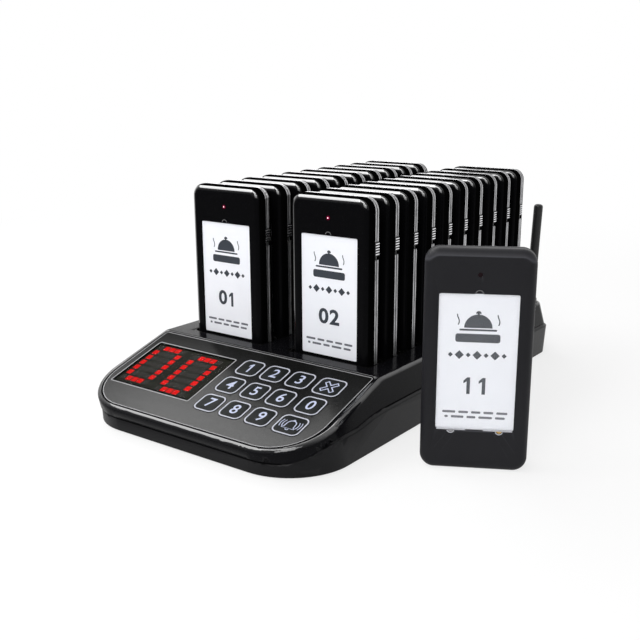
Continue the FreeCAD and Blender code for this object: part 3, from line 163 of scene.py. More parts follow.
def bump(place, height, depth):
    """Turns a height from 0 to 1 into a surface normal, with its depth in metres."""
    return place.node("Bump", None, {"Height": height, "Distance": depth, "Strength": 1.0})

# %% [markdown]
# The plastics fall into two families. Gloss black shows almost no colour of its own, only
# the room mirrored in it, broken here and there by dust. A clear coat is laid on rounded
# edges by the direction that the surface faces, so that the lamps' highlights show there
# and not on the flat faces: a painted highlight. Grained plastic comes out of a sparked
# mould, and its fine grain spreads each reflection into a grey sheen.

# %% Plastics
def facing(place, axis, sign, stops):
    """A ramp read by how squarely the surface faces along an axis, from 0 to 1."""
    faces = place.tree.nodes.new("ShaderNodeTexCoord").outputs["Normal"]
    along = place.node("SeparateXYZ", None, {0: Wire(place.tree, faces)}, axis)
    return place.node("ValToRGB", {"stops": [(at, grey(level)) for at, level in stops]}, {0: along * sign})


def rim_highlight_coat(place):
    """The housing's rim, from the film's edge over its rounding, gets a clear coat by the way it faces: a
    painted highlight.
    """
    return facing(place, 2, 1, ((0.15, 0.0), (0.42, 0.25), (0.65, 0.5), (0.958, 0.5), (0.975, 0.0)))


def edge_highlight_coat(place):
    """A pager's rounded edges, the top one and more faintly the left one, get a clear coat by the way they
    face: a painted highlight.
    """
    top = facing(place, 2, 1, ((0.10, 0.0), (0.32, 0.3), (0.50, 0.85), (0.62, 1.0)))
    front = facing(place, 1, -1, ((0.35, 0.0), (0.50, 1.0)))
    left = facing(place, 0, -1, ((0.20, 0.0), (0.28, 1.0), (0.50, 1.0), (0.56, 0.0)))
    return (top * front).maths("MAXIMUM", top * front, left)


def edge_painted_highlight(place):
    """The line where a matt pager's front turns over at the top, painted paler: a painted highlight."""
    return facing(place, 2, 1, ((0.06, 0.0), (0.20, 1.0), (0.34, 0.5), (0.60, 0.1), (0.75, 0.0)))


def gloss_plastic(name, colour, roughness, specular, highlight_coat=None, dust=0.35):
    """Polished plastic with the faint clouding and dust that handling leaves; a clear coat laid by facing
    paints a highlight.
    """
    material, shader, place = new_material(name, Specular_IOR_Level=specular, Coat_IOR=2.6,
                                           Coat_Roughness=0.06)
    cloud = noise(place, 26.0, 3.0)
    specks = noise(place, 2400.0, 1.0) > 0.72
    feed(shader, "Roughness", cloud * 0.05 + (roughness - 0.025) + specks * 0.12)
    feed(shader, "Base Color", blend_colours(place, specks * dust, colour, (0.05, 0.05, 0.055)))
    if highlight_coat:
        feed(shader, "Coat Weight", highlight_coat(place) * (1.0 - specks * 0.6))
    feed(shader, "Normal", bump(place, noise(place, 45.0, 1.0), 0.00003))
    return material


def grained_plastic(name, colour, pale, roughness, grain, depth, specular=0.5, painted_highlight=None):
    """Moulded plastic with a sparked grain, a little paler where a painted highlight is laid on."""
    material, shader, place = new_material(name, Specular_IOR_Level=specular)
    fine = noise(place, grain, 3.0, 0.6)
    slow = noise(place, 38.0, 2.0)
    tone_and_highlight = slow * 0.6 + fine * 0.4
    if painted_highlight:
        tone_and_highlight = tone_and_highlight + painted_highlight(place) * 5.0
    tint = place.node("Mix", {"data_type": "RGBA", "clamp_factor": False},
                      {0: tone_and_highlight, 6: (*colour, 1.0), 7: (*pale, 1.0)}, 2)
    feed(shader, "Base Color", tint)
    feed(shader, "Roughness", fine * 0.12 + slow * 0.06 + (roughness - 0.09))
    feed(shader, "Normal", bump(place, fine, depth))
    return material


housing_black = gloss_plastic("housing_black", (0.004, 0.004, 0.005), 0.18, 0.06, rim_highlight_coat)
bank_black = gloss_plastic("bank_black", grey(0.002), 0.20, 0.04)
tray_grain = grained_plastic("tray_grain", (0.004, 0.004, 0.005), (0.009, 0.009, 0.010), 0.36, 2600.0,
                             0.00004, 0.20)
pager_black = gloss_plastic("pager_black", (0.0025, 0.0025, 0.003), 0.12, 0.05, edge_highlight_coat, 0.15)
# A black that reflects nothing, laid on the pagers as a painted dark line and painted dark reflection.
pager_painted_dark = gloss_plastic("pager_painted_dark", grey(0.0015), 0.20, 0.0, None, 0.1)
pager_rear = gloss_plastic("pager_rear", (0.005, 0.005, 0.0055), 0.20, 0.30)
seam_grey = grained_plastic("seam_grey", grey(0.01), grey(0.09), 0.5, 1500.0, 0.00005)
# A black used both as a painted shade in the gap round the panel film and as the window's printed border.
gap_shade_and_print_black = grained_plastic("gap_shade_and_print_black", grey(0.001), grey(0.003), 0.7, 2000.0, 0.00002, 0.0)
# The matt shell is painted paler along its top edge, a painted highlight.
matt_shell = grained_plastic("matt_shell", (0.010, 0.010, 0.012), (0.017, 0.017, 0.020), 0.45, 3200.0,
                             0.00005, 0.18, edge_painted_highlight)
soft_black = grained_plastic("soft_black", grey(0.006), grey(0.018), 0.50, 1400.0, 0.00006, 0.4)
inlet_black = grained_plastic("inlet_black", grey(0.01), grey(0.02), 0.45, 2600.0, 0.00003)
board_green = grained_plastic("board_green", (0.005, 0.05, 0.02), (0.01, 0.09, 0.04), 0.4, 700.0, 0.00003)
cell_silver = grained_plastic("cell_silver", (0.45, 0.46, 0.48), (0.6, 0.6, 0.62), 0.35, 500.0, 0.00004)


def metal(name, colour, dull, roughness):
    """Plated metal: bright, with cloudy patches where it has dulled."""
    material, shader, place = new_material(name, Metallic=1.0)
    patches = noise(place, 420.0, 3.0)
    feed(shader, "Base Color", blend_colours(place, patches, colour, dull))
    feed(shader, "Roughness", patches * 0.2 + roughness)
    feed(shader, "Normal", bump(place, noise(place, 3000.0, 2.0), 0.00001))
    return material


def painted_side_sheen():
    """The flat band round a pager's side: a pale metal in fine streaks along its length, a painted sheen."""
    material, shader, place = new_material("painted_side_sheen", Metallic=0.8)
    drawn = place.node("VectorMath", {"operation": "MULTIPLY"}, {0: place, 1: (1.0, 1.0, 0.05)})
    streaks = noise(drawn, 1500.0, 3.0, 0.7)
    fuzz = noise(place, 1100.0, 2.0)
    feed(shader, "Base Color", blend_colours(place, streaks * 1.5 + fuzz * 0.5 - 0.5, grey(0.05),
                                             (0.80, 0.80, 0.82)))
    feed(shader, "Roughness", streaks * 0.15 + 0.22)
    feed(shader, "Normal", bump(place, streaks, 0.00004))
    return material


gilt = metal("gilt", (0.80, 0.55, 0.22), (0.60, 0.38, 0.14), 0.18)
screw_steel = metal("screw_steel", (0.42, 0.42, 0.44), (0.24, 0.24, 0.25), 0.25)
crest_painted_highlight = metal("crest_painted_highlight", (0.90, 0.90, 0.92), (0.70, 0.70, 0.72), 0.12)
pager_painted_sheen = painted_side_sheen()
print(len(bpy.data.materials), "materials")

# %% [markdown]
# Every shape starts as a primitive. Its faces and edges are picked by where they are and
# which way they face, and the finished piece is handed over to the body that it moves with.

# %% Tools for the hand
SHARP = radians(32)


def pick_nothing():
    if bpy.context.mode != "OBJECT":
        bpy.ops.object.mode_set(mode="OBJECT")
    bpy.ops.object.select_all(action="DESELECT")


def pick(piece):
    pick_nothing()
    piece.select_set(True)
    bpy.context.view_layer.objects.active = piece


def apply_modifiers(piece):
    pick(piece)
    for modifier in list(piece.modifiers):
        bpy.ops.object.modifier_apply(modifier=modifier.name)


def settle(piece):
    """Puts a piece's place, turn and size into its mesh."""
    pick(piece)
    bpy.ops.object.transform_apply(location=True, rotation=True, scale=True)


def shade(piece):
    """Smooth across curves, sharp at edges, flat on flat faces."""
    pick(piece)
    bpy.ops.object.shade_smooth_by_angle(angle=SHARP)
    weighted = piece.modifiers.new("weighted", "WEIGHTED_NORMAL")
    weighted.keep_sharp = True
    apply_modifiers(piece)
    return piece


def block(name, low, high):
    """A box between two corners, given in millimetres."""
    pick_nothing()
    middle = (Vector(low) + Vector(high)) / 2 * MM
    bpy.ops.mesh.primitive_cube_add(size=1, location=middle, scale=(Vector(high) - Vector(low)) * MM)
    piece = bpy.context.object
    piece.name = name
    settle(piece)
    return piece


def choose(piece, mode, test):
    """Leaves the piece in edit mode with only the faces or edges that pass the test selected."""
    pick(piece)
    bpy.ops.object.mode_set(mode="EDIT")
    bpy.ops.mesh.select_mode(type=mode)
    bpy.ops.mesh.select_all(action="DESELECT")
    bpy.ops.object.mode_set(mode="OBJECT")
    points = [vertex.co for vertex in piece.data.vertices]
    for element in (piece.data.polygons if mode == "FACE" else piece.data.edges):
        corners = [points[i] / MM for i in element.vertices]
        element.select = test(element, corners) if mode == "FACE" else test(corners)
    bpy.ops.object.mode_set(mode="EDIT")


def choose_all(piece):
    choose(piece, "FACE", lambda face, corners: True)


def leave():
    bpy.ops.object.mode_set(mode="OBJECT")


def round_edges(piece, test, radius, steps):
    """Rounds the edges that pass the test, by a radius in millimetres."""
    choose(piece, "EDGE", test)
    bpy.ops.mesh.bevel(offset=radius * MM, segments=steps, profile=0.5, affect="EDGES", clamp_overlap=True)
    leave()


def runs_along(axis):
    """True for an edge whose two ends differ only along an axis."""
    others = [i for i in range(3) if i != axis]
    return lambda ends: all(abs(ends[0][i] - ends[1][i]) < 0.01 for i in others)


def lies_at(axis, level):
    """True for an edge or face that lies wholly at a level of an axis, in millimetres."""
    return lambda ends: all(abs(end[axis] - level) < 0.01 for end in ends)


def rounded_block(name, low, high, axis, radius, steps):
    """A box whose four edges along an axis are rounded."""
    piece = block(name, low, high)
    round_edges(piece, runs_along(axis), radius, steps)
    return piece


def cut_away(piece, tool):
    """Takes the tool's shape out of the piece, and the tool with it."""
    boolean = piece.modifiers.new("cut", "BOOLEAN")
    boolean.operation = "DIFFERENCE"
    boolean.solver = "EXACT"
    boolean.object = tool
    apply_modifiers(piece)
    bpy.data.objects.remove(tool)


def join(name, pieces):
    """Makes one object of several; the first one's materials come first."""
    pick_nothing()
    for piece in pieces:
        piece.select_set(True)
    bpy.context.view_layer.objects.active = pieces[0]
    if len(pieces) > 1:
        bpy.ops.object.join()
    pieces[0].name = name
    return pieces[0]


def paint(piece, *materials):
    piece.data.materials.clear()
    for material in materials:
        piece.data.materials.append(material)
    return piece


def paint_where(piece, index, test):
    """Gives the faces that pass the test the material of an index."""
    points = [vertex.co for vertex in piece.data.vertices]
    for face in piece.data.polygons:
        corners = [points[i] / MM for i in face.vertices]
        if test(face, corners):
            face.material_index = index


def hand_over(piece, body, nodes=()):
    """Says which body a piece moves with and which nodes it stands for."""
    settle(piece)
    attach(piece, body)
    if nodes:
        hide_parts(*nodes)
    return piece


def copied(piece, name, place):
    """A copy with its own mesh, moved by a matrix."""
    twin = bpy.data.objects.new(name, piece.data.copy())
    bpy.context.scene.collection.objects.link(twin)
    twin.data.transform(place)
    return twin


print("tools ready")

# %% [markdown]
# Most of the base's mouldings have the right shape in the frame already, but as loose flat
# triangles, which would break every reflection into facets. Each is copied, its corners are
# joined, and its normals are averaged across the small angles of a curve and kept apart at
# real edges, which leaves the large flat faces truly flat.

# %% Copies of the frame's mouldings
def moulding(node, name, body, slot, *materials):
    """A joined, smooth copy of a node that stands for it."""
    piece = copied(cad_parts[node], name, Matrix())
    pick(piece)
    bpy.ops.object.mode_set(mode="EDIT")
    bpy.ops.mesh.select_all(action="SELECT")
    bpy.ops.mesh.remove_doubles(threshold=0.002 * MM)
    leave()
    shade(piece)
    return hand_over(paint(piece, *materials), body, [node])


moulding("upper_housing", "housing", "base", "gloss_black", housing_black)
moulding("lower_tray", "tray", "base", "tray_plastic", tray_grain)
moulding("slot_bank_left", "bank_left", "base", "gloss_black", bank_black)
moulding("slot_bank_right", "bank_right", "base", "gloss_black", bank_black)
moulding("aerial_rod", "whip", "aerial_whip", "aerial_rubber", soft_black)
moulding("aerial_swivel", "swivel", "aerial_fork", "aerial_rubber", soft_black)
moulding("aerial_connector", "connector", "base", "gilt", gilt)
moulding("housing_screws", "screws", "base", "steel", screw_steel)
moulding("rubber_feet", "feet", "base", "soft_rubber", soft_black)
moulding("power_inlet", "inlet", "base", "inlet_plastic", inlet_black)
print("mouldings copied")

# %% [markdown]
# The panel is a graphite film on the slope, flush in its recess, with a fine speckle. All
# small marks on it are thin solid shapes, because shapes stay sharp at any size.

# %% Panel finishes
FILM_FRONT = -0.136
FILM_REAR = -0.076


def speckled_film():
    """Dark film with a fine speckle; its clear coat fades from the front towards the pagers, a painted shade
    on its upper part.
    """
    material, shader, place = new_material("speckled_film", Specular_IOR_Level=0.0, Coat_IOR=1.375,
                                           Coat_Roughness=0.2)
    fine = noise(place, 5200.0, 2.0, 0.7)
    coarse = noise(place, 1300.0, 2.0)
    specks = noise(place, 3400.0, 1.0) > 0.60
    depth = place.node("SeparateXYZ", None, {0: place}, 1)
    painted_shade_coat = ranged(depth, FILM_FRONT, FILM_REAR, 0.8, 0.1)
    feed(shader, "Base Color", blend_colours(place, specks * 0.5 + fine * 0.3, grey(0.003),
                                             (0.020, 0.021, 0.020)))
    feed(shader, "Coat Weight", painted_shade_coat * (coarse * 0.8 + fine * 0.6 + 0.1))
    feed(shader, "Roughness", fine * 0.10 + 0.16)
    feed(shader, "Normal", bump(place, fine, 0.00003))
    return material


def smoked_pane():
    """A dark pane that lets the lit dots through."""
    material, shader, place = new_material("smoked_pane", Specular_IOR_Level=0.005)
    haze = noise(place, 60.0, 2.0)
    feed(shader, "Base Color", blend_colours(place, haze, (0.006, 0.008, 0.006), (0.012, 0.015, 0.011)))
    feed(shader, "Roughness", haze * 0.06 + 0.08)
    feed(shader, "Alpha", haze * 0.06 + 0.27)
    return material


def lit(name, colour, shade_of, strength):
    """A lamp's face: brighter at the middle of its grain, never quite even."""
    material, shader, place = new_material(name, Emission_Strength=strength, Roughness=0.4,
                                           Specular_IOR_Level=0.02)
    glow = blend_colours(place, noise(place, 900.0, 2.0), colour, shade_of)
    feed(shader, "Base Color", glow)
    feed(shader, "Emission Color", glow)
    return material


def ink(name, colour, thin):
    """Printed ink: an even colour with pinholes and thinner patches."""
    material, shader, place = new_material(name, Specular_IOR_Level=0.3)
    pinholes = noise(place, 4200.0, 1.0) > 0.70
    patches = noise(place, 160.0, 2.0)
    feed(shader, "Base Color", blend_colours(place, pinholes * 0.3 + patches * 0.4, colour, thin))
    feed(shader, "Roughness", patches * 0.1 + 0.45)
    return material


film = speckled_film()
pane_tint = smoked_pane()
dot_lit = lit("dot_lit", (1.0, 0.006, 0.006), (0.8, 0.004, 0.005), 0.92)
dot_dark = ink("dot_dark", (0.038, 0.028, 0.024), (0.030, 0.025, 0.021))
digit_black = grained_plastic("digit_black", (0.034, 0.034, 0.028), (0.046, 0.044, 0.036), 0.5, 300.0,
                              0.00001, 0.02)
key_film = grained_plastic("key_film", (0.006, 0.007, 0.007), (0.016, 0.018, 0.018), 0.30, 2400.0,
                           0.00002, 0.03)
key_ink = ink("key_ink", (0.50, 0.51, 0.58), (0.38, 0.39, 0.46))
legend_ink = ink("legend_ink", (0.50, 0.54, 0.70), (0.38, 0.42, 0.58))
# A pale grey used both as a painted highlight on the film's cut edges and as the colour of a small tab.
edge_highlight_and_tab_grey = ink("edge_highlight_and_tab_grey", (0.30, 0.30, 0.31), (0.24, 0.24, 0.25))

PANEL_FOLD = (0.0, -73.0, 37.4)
PANEL_TILT = radians(17.7)
ON_PANEL = Matrix.Translation(Vector(PANEL_FOLD) * MM) @ Matrix.Rotation(PANEL_TILT, 4, "X")
PANEL_UP = (ON_PANEL.to_3x3() @ Vector((0, 0, 1))).normalized()
FROM_PANEL = ON_PANEL.inverted()
WINDOW_REACH = ((-71.5, -55.5), (-9.0, -12.0))
KEYS_REACH = ((-8.0, -60.5), (68.5, -8.0))


def edge_lines(piece, *widths):
    """Draws strips of these widths inside the top face's outline and holes, from the edge inwards."""
    choose(piece, "FACE", lambda face, corners: face.normal.dot(PANEL_UP) > 0.99)
    for number, width in enumerate(widths):
        piece.active_material_index = number + 1
        bpy.ops.object.material_slot_assign()
        bpy.ops.mesh.inset(thickness=width * MM, depth=0)
    piece.active_material_index = 0
    bpy.ops.object.material_slot_assign()
    leave()


def within(place, reach):
    (left, front), (right, rear) = reach
    return left < place.x < right and front < place.y < rear


def keep_strips(piece):
    """Keeps both painted strips round the outline, only the pale painted highlight round the window, and none
    round the keys.
    """
    for face in piece.data.polygons:
        place = FROM_PANEL @ face.center / MM
        if face.material_index and within(place, WINDOW_REACH):
            face.material_index = 2 if face.material_index == 1 else 0
        elif within(place, KEYS_REACH):
            face.material_index = 0


# Round the film's outline a dark strip is painted shade of the gap to the housing, and a pale strip inside it
# is a painted highlight on the film's edge; round the window only the pale strip is kept.
GAP_SHADE_LINE = 0.65
EDGE_HIGHLIGHT_LINE = 0.5
film_plate = moulding("panel_overlay", "panel_film", "base", "overlay_film", film, gap_shade_and_print_black, edge_highlight_and_tab_grey)
edge_lines(film_plate, GAP_SHADE_LINE, EDGE_HIGHLIGHT_LINE)
keep_strips(film_plate)
shade(film_plate)
moulding("digit_modules", "digit_blocks", "base", "digit_module", digit_black)
print("panel film and digit blocks in place")

# %% [markdown]
# The display is built up as a real one is: a smoked pane flush with the film, its edge
# printed black underneath, and close below it a dark face plate that carries the dots.

# %% Window
WINDOW = ((-70.2, -54.2), (-10.3, -13.2))
WINDOW_RADIUS = 0.8
PANE_EDGE = 0.8
PANE_DEPTH = -0.6
FACE_DEPTHS = (-1.45, -1.0)


def window_plate(name, inset, low, high, material, *strips):
    """A plate of the window's outline between two heights over the panel."""
    (left, front), (right, rear) = WINDOW
    piece = rounded_block(name, (left + inset, front + inset, low), (right - inset, rear - inset, high), 2,
                          WINDOW_RADIUS, 3)
    piece.data.transform(ON_PANEL)
    return shade(paint(piece, material, *strips))


pane = window_plate("pane", 0.0, PANE_DEPTH, 0.0, pane_tint, gap_shade_and_print_black)
edge_lines(pane, PANE_EDGE)
hand_over(pane, "base", ["display_window"])
hand_over(window_plate("display_face", 0.3, *FACE_DEPTHS, digit_black), "base")
print("pane and face plate in place")

# %% [markdown]
# The digits are two blocks of five by seven square dots. A dot is one thin tablet, modelled
# once and copied to all seventy places; the ones that draw a nought are lit.

# %% Display dots
DOT = (3.65, 3.8)
DOT_HEIGHT = 0.06
DOT_RADIUS = 0.35
DOT_PITCH = (4.5, 5.32)
DOT_PLANE = -1.01
DIGIT_CORNERS = ((-66.6, -16.4), (-37.3, -17.8))
NOUGHT = (".###.", "#...#", "#...#", "#...#", "#...#", "#...#", ".###.")


def tablet(name, width, length, height, radius, steps=3):
    """A thin rounded plate, centred, its underside at zero."""
    half = Vector((width / 2, length / 2, 0))
    return rounded_block(name, -half, (half.x, half.y, height), 2, radius, steps)


def dots(name, wanted, material):
    """All the dots of one kind on both digits, as one piece."""
    pattern = tablet("dot", *DOT, DOT_HEIGHT, DOT_RADIUS)
    pieces = []
    for left, top in DIGIT_CORNERS:
        for row, line in enumerate(NOUGHT):
            for column, mark in enumerate(line):
                if mark == wanted:
                    place = (left + column * DOT_PITCH[0], top - row * DOT_PITCH[1], DOT_PLANE)
                    pieces.append(copied(pattern, "dot", ON_PANEL @ Matrix.Translation(Vector(place) * MM)))
    bpy.data.objects.remove(pattern)
    hand_over(paint(join(name, pieces), material), "base")


dots("dots_lit", "#", dot_lit)
dots("dots_dark", ".", dot_dark)
print("seventy dots")

# %% [markdown]
# A key is a film cap with a printed ring round its edge and a mark in the middle. The rings
# are rounded plates with their middles inset and taken away. The cross is four arms with the
# same treatment, and the bell is a dome, a flared skirt and a clapper, with two short arcs
# on each side for its ringing.

# %% Keys
KEYS = (("1", "2", "3", "clear"), ("4", "5", "6", "0"), ("7", "8", "9", "call"))
KEY_TOP = 0.25
KEY_SIZES = {"wide": (16.705, 14.7), "plain": (15.0, 14.1)}
COLUMN_PLACES = (3.8, 21.174, 38.547, 57.608)
ROW_PLACES = (17.3, 34.4, 51.5)
RING_RADIUS = 3.6
RING_WIDTH = 0.75
RING_MARGIN = 0.3
MARK_HEIGHT = 7.5
MARK_BOLDNESS = 0.08
CROSS_REACH = 5.2
CROSS_HALF_WIDTH = 1.35
MARK_LINE = 0.62
PRINT = 0.04
CAPITAL_SHARE = 0.73
FIGURE_STEP_SHARE = 0.757


def plate_to_ring(piece, width):
    """Turns a flat face into a ring of a given width, as thick as print."""
    choose_all(piece)
    bpy.ops.mesh.inset(thickness=width * MM, depth=0)
    bpy.ops.mesh.delete(type="FACE")
    leave()
    return raise_print(piece)


def raise_print(piece):
    """Gives a flat face the thickness of print."""
    choose_all(piece)
    bpy.ops.mesh.extrude_region_move(TRANSFORM_OT_translate={"value": (0, 0, PRINT * MM)})
    bpy.ops.mesh.select_all(action="SELECT")
    bpy.ops.mesh.normals_make_consistent(inside=False)
    leave()
    return piece


def flat_plate(name, width, length, radius):
    """A flat face with rounded corners."""
    pick_nothing()
    bpy.ops.mesh.primitive_plane_add(size=1)
    piece = bpy.context.object
    piece.name = name
    piece.scale = (width * MM, length * MM, 1)
    settle(piece)
    bpy.ops.object.mode_set(mode="EDIT")
    bpy.ops.mesh.select_all(action="SELECT")
    bpy.ops.mesh.bevel(offset=radius * MM, segments=6, affect="VERTICES")
    leave()
    return piece


def written(name, text, height, boldness, squeeze):
    """A line of figures as a thin solid, centred on zero."""
    pick_nothing()
    bpy.ops.object.text_add()
    piece = bpy.context.object
    piece.name = name
    piece.data.body = text
    piece.data.align_x = "CENTER"
    piece.data.align_y = "CENTER"
    piece.data.size = height * MM / CAPITAL_SHARE
    piece.data.offset = boldness * MM
    piece.data.extrude = PRINT / 2 * MM
    piece.data.resolution_u = 4
    bpy.ops.object.convert(target="MESH")
    piece = bpy.context.object
    piece.scale = (squeeze, 1, 1)
    settle(piece)
    return piece


def flagged_one(height, stem):
    """A one with a flag: a seven-cornered plate whose corners are pulled into place."""
    pick_nothing()
    bpy.ops.mesh.primitive_circle_add(vertices=7, radius=MM, fill_type="NGON")
    piece = bpy.context.object
    left, right, half = 0.10 * height - stem, 0.10 * height, height / 2
    tip = left - 0.18 * height
    outline = ((left, -half), (left, half - 0.24 * height), (tip, half - 0.37 * height),
               (tip, half - 0.20 * height), (left + 0.15 * stem, half), (right, half), (right, -half))
    for corner, (x, y) in zip(piece.data.vertices, outline):
        corner.co = (x * MM, y * MM, 0)
    return raise_print(piece)


def figure(character, height, boldness, width):
    """One figure. The font's one is a bare bar, so it is drawn from given corners."""
    if character == "1":
        return flagged_one(height, 0.13 * height + 1.6 * boldness)
    return written("figure", character, height, boldness, width)


def figures(name, text, height, boldness, width=1.0):
    """Figures in a row, centred, each given the same room."""
    pieces = []
    for place, character in enumerate(text):
        piece = figure(character, height, boldness, width)
        piece.location.x = (place - (len(text) - 1) / 2) * FIGURE_STEP_SHARE * width * height * MM
        settle(piece)
        pieces.append(piece)
    return join(name, pieces)


def stroke(name, points, width, closed=False):
    """A line of a given width through points in millimetres, pressed flat."""
    curve = bpy.data.curves.new(name, "CURVE")
    curve.dimensions = "3D"
    line = curve.splines.new("POLY")
    line.points.add(len(points) - 1)
    for point, (x, y) in zip(line.points, points):
        point.co = (x * MM, y * MM, 0, 1)
    line.use_cyclic_u = closed
    curve.bevel_depth = width / 2 * MM
    curve.bevel_resolution = 1
    curve.use_fill_caps = True
    drawn = bpy.data.objects.new(name, curve)
    bpy.context.scene.collection.objects.link(drawn)
    pick(drawn)
    bpy.ops.object.convert(target="MESH")
    drawn = bpy.context.object
    drawn.scale = (1, 1, PRINT / width)
    settle(drawn)
    return drawn


def arc(centre, radius, start, end, steps):
    """Points on a circle from one angle to another, in degrees."""
    angles = [radians(start + (end - start) * i / steps) for i in range(steps + 1)]
    return [(centre[0] + radius * cos(a), centre[1] + radius * sin(a)) for a in angles]


def cross_mark():
    """Two crossed arms, drawn as an outline."""
    pick_nothing()
    bpy.ops.mesh.primitive_grid_add(x_subdivisions=3, y_subdivisions=3, size=3 * MM)
    piece = bpy.context.object
    choose(piece, "FACE", lambda face, corners: abs(face.center.x * face.center.y) > 0.5e-6)
    bpy.ops.mesh.delete(type="FACE")
    leave()
    for vertex in piece.data.vertices:
        for axis in (0, 1):
            away = vertex.co[axis] / MM
            reach = CROSS_REACH if abs(away) > 1 else CROSS_HALF_WIDTH
            vertex.co[axis] = MM * (1 if away > 0 else -1) * reach
    choose_all(piece)
    bpy.ops.mesh.dissolve_faces()
    leave()
    plate_to_ring(piece, MARK_LINE)
    piece.rotation_euler = (0, 0, radians(45))
    settle(piece)
    return piece


def bell_mark():
    """A bell with its clapper, and two arcs on each side."""
    dome = arc((0, 0.6), 2.7, 0, 180, 10)
    skirt = dome + [(-2.9, -1.6), (-3.9, -2.7), (3.9, -2.7), (2.9, -1.6)]
    pieces = [stroke("bell", skirt, MARK_LINE, True),
              stroke("clapper", arc((0, -2.9), 1.0, 200, 340, 6), 0.6),
              stroke("crown", arc((0, 3.5), 0.55, 0, 180, 6), 0.55)]
    for side in (0, 180):
        pieces.append(stroke("near_arc", arc((0, 0.4), 4.7, side - 32, side + 32, 6), 0.5))
        pieces.append(stroke("far_arc", arc((0, 0.4), 6.2, side - 26, side + 26, 6), 0.5))
    return join("bell", pieces)


def key(label, column, row):
    """The cap, its ring and its mark, which all move with the key."""
    wide = label in ("clear", "call")
    width, length = KEY_SIZES["wide" if wide else "plain"]
    body = f"key_{label}_button"
    place = ON_PANEL @ Matrix.Translation(Vector((COLUMN_PLACES[column], -ROW_PLACES[row], KEY_TOP)) * MM)
    moulding("key_" + label, "cap_" + label, body, "key_plastic", key_film)
    plate = flat_plate("ring_" + label, width - RING_MARGIN, length - RING_MARGIN, RING_RADIUS)
    ring = plate_to_ring(plate, RING_WIDTH)
    mark = {"clear": cross_mark, "call": bell_mark}.get(label)
    mark = mark() if mark else figures("mark_" + label, label, MARK_HEIGHT, MARK_BOLDNESS)
    for piece, material in ((ring, key_ink), (mark, legend_ink)):
        piece.data.transform(place)
        hand_over(paint(piece, material), body)
    mark.name = "mark_" + label


for row, labels in enumerate(KEYS):
    for column, label in enumerate(labels):
        key(label, column, row)
print("twelve keys")

# %% [markdown]
# The pager is two shells that meet at a seam. It starts as a box: the four long corners are
# rounded, then the front edge, and the card's recess is cut out. The front is nearly black.
# A clear coat on the rounded edges that look up makes them the brightest, a painted
# highlight; strips beside the band that reflect nothing are a painted dark line, and the flat
# band round the side is a streaked pale metal, a painted sheen. It is modelled once, at the
# origin with its front on the XZ plane, and copied to every slot.

# %% Pager shells
PAGER = (52.0, 14.0, 110.0)
HALF_WIDTH = PAGER[0] / 2
SEAM = (7.4, 8.0)
BAND = (6.2, 9.3)
CORNER = 7.0
FRONT_ROUND = 4.0
BACK_ROUND = 4.8
SEAM_EASE = 0.25
NECK_INSET = 0.5
CARD = (37.6, 21.1, 67.8)
CARD_TOP = CARD[1] + CARD[2]
RECESS = 1.0
LAMP_HEIGHT = 98.1
SWITCH_CENTRE = PAGER[2] - 28.0
SLOT_HALF_LENGTH = 5.0
SLOT_DEPTH = 1.2
SLIDER_HALF = 1.8
SLIDER_LENGTH = 7.6
TEETH = 5
TOOTH_PITCH = 1.4
TOOTH_HALF = 0.35
CREST = HALF_WIDTH + 0.5


def shell_block(name, near, far, inset=0.0):
    half = HALF_WIDTH - inset
    return rounded_block(name, (-half, near, inset), (half, far, PAGER[2] - inset), 1, CORNER - inset, 8)


def front_shell():
    """The front half, with its rounded front edge, the card's recess and the switch's slot."""
    piece = shell_block("front_shell", 0, SEAM[0])
    round_edges(piece, lies_at(1, 0.0), FRONT_ROUND, 7)
    round_edges(piece, lies_at(1, SEAM[0]), SEAM_EASE, 1)
    choose_all(piece)
    bpy.ops.mesh.bisect(plane_co=(0, BAND[0] * MM, 0), plane_no=(0, 1, 0))
    leave()
    half = CARD[0] / 2
    cut_away(piece, rounded_block("recess", (-half, -1, CARD[1]), (half, RECESS, CARD_TOP), 1, 1.0, 3))
    cut_away(piece, switch_slot())
    return piece


def back_shell():
    """The back half with a narrow neck that leaves the seam."""
    neck = shell_block("neck", SEAM[0], SEAM[1], NECK_INSET)
    back = shell_block("back", SEAM[1], PAGER[1])
    round_edges(back, lies_at(1, PAGER[1]), BACK_ROUND, 6)
    round_edges(back, lies_at(1, SEAM[1]), SEAM_EASE, 1)
    cut_away(back, switch_slot())
    return neck, back


def switch_slot():
    """The slot in the right side that the switch runs in."""
    return block("slot", (HALF_WIDTH - SLOT_DEPTH, SEAM[0] - 1.65, SWITCH_CENTRE - SLOT_HALF_LENGTH),
                 (HALF_WIDTH + 3, SEAM[1] + 1.65, SWITCH_CENTRE + SLOT_HALF_LENGTH))


def switch():
    """A ribbed slider: a bar with five teeth, whose crests carry a painted highlight in bright metal."""
    centre = (SEAM[0] + SEAM[1]) / 2
    near, far = centre - SLIDER_HALF, centre + SLIDER_HALF
    top = SWITCH_CENTRE + 4.85
    parts = [block("slider", (HALF_WIDTH - 1.05, near, top - SLIDER_LENGTH), (HALF_WIDTH, far, top))]
    for tooth in range(TEETH):
        level = top - SLIDER_LENGTH / 2 + (tooth - (TEETH - 1) / 2) * TOOTH_PITCH
        rib = block("rib", (HALF_WIDTH - 0.2, near, level - TOOTH_HALF), (CREST, far, level + TOOTH_HALF))
        round_edges(rib, lies_at(0, CREST), 0.15, 2)
        parts.append(rib)
    piece = paint(join("switch", parts), soft_black, crest_painted_highlight)
    paint_where(piece, 1, lambda face, corners: min(corner.x for corner in corners) > CREST - 0.2)
    return piece


def in_band(face, corners):
    """The band on both sides of the seam, all round the pager."""
    return BAND[0] < face.center.y / MM < BAND[1] and abs(face.normal.y) < 0.8


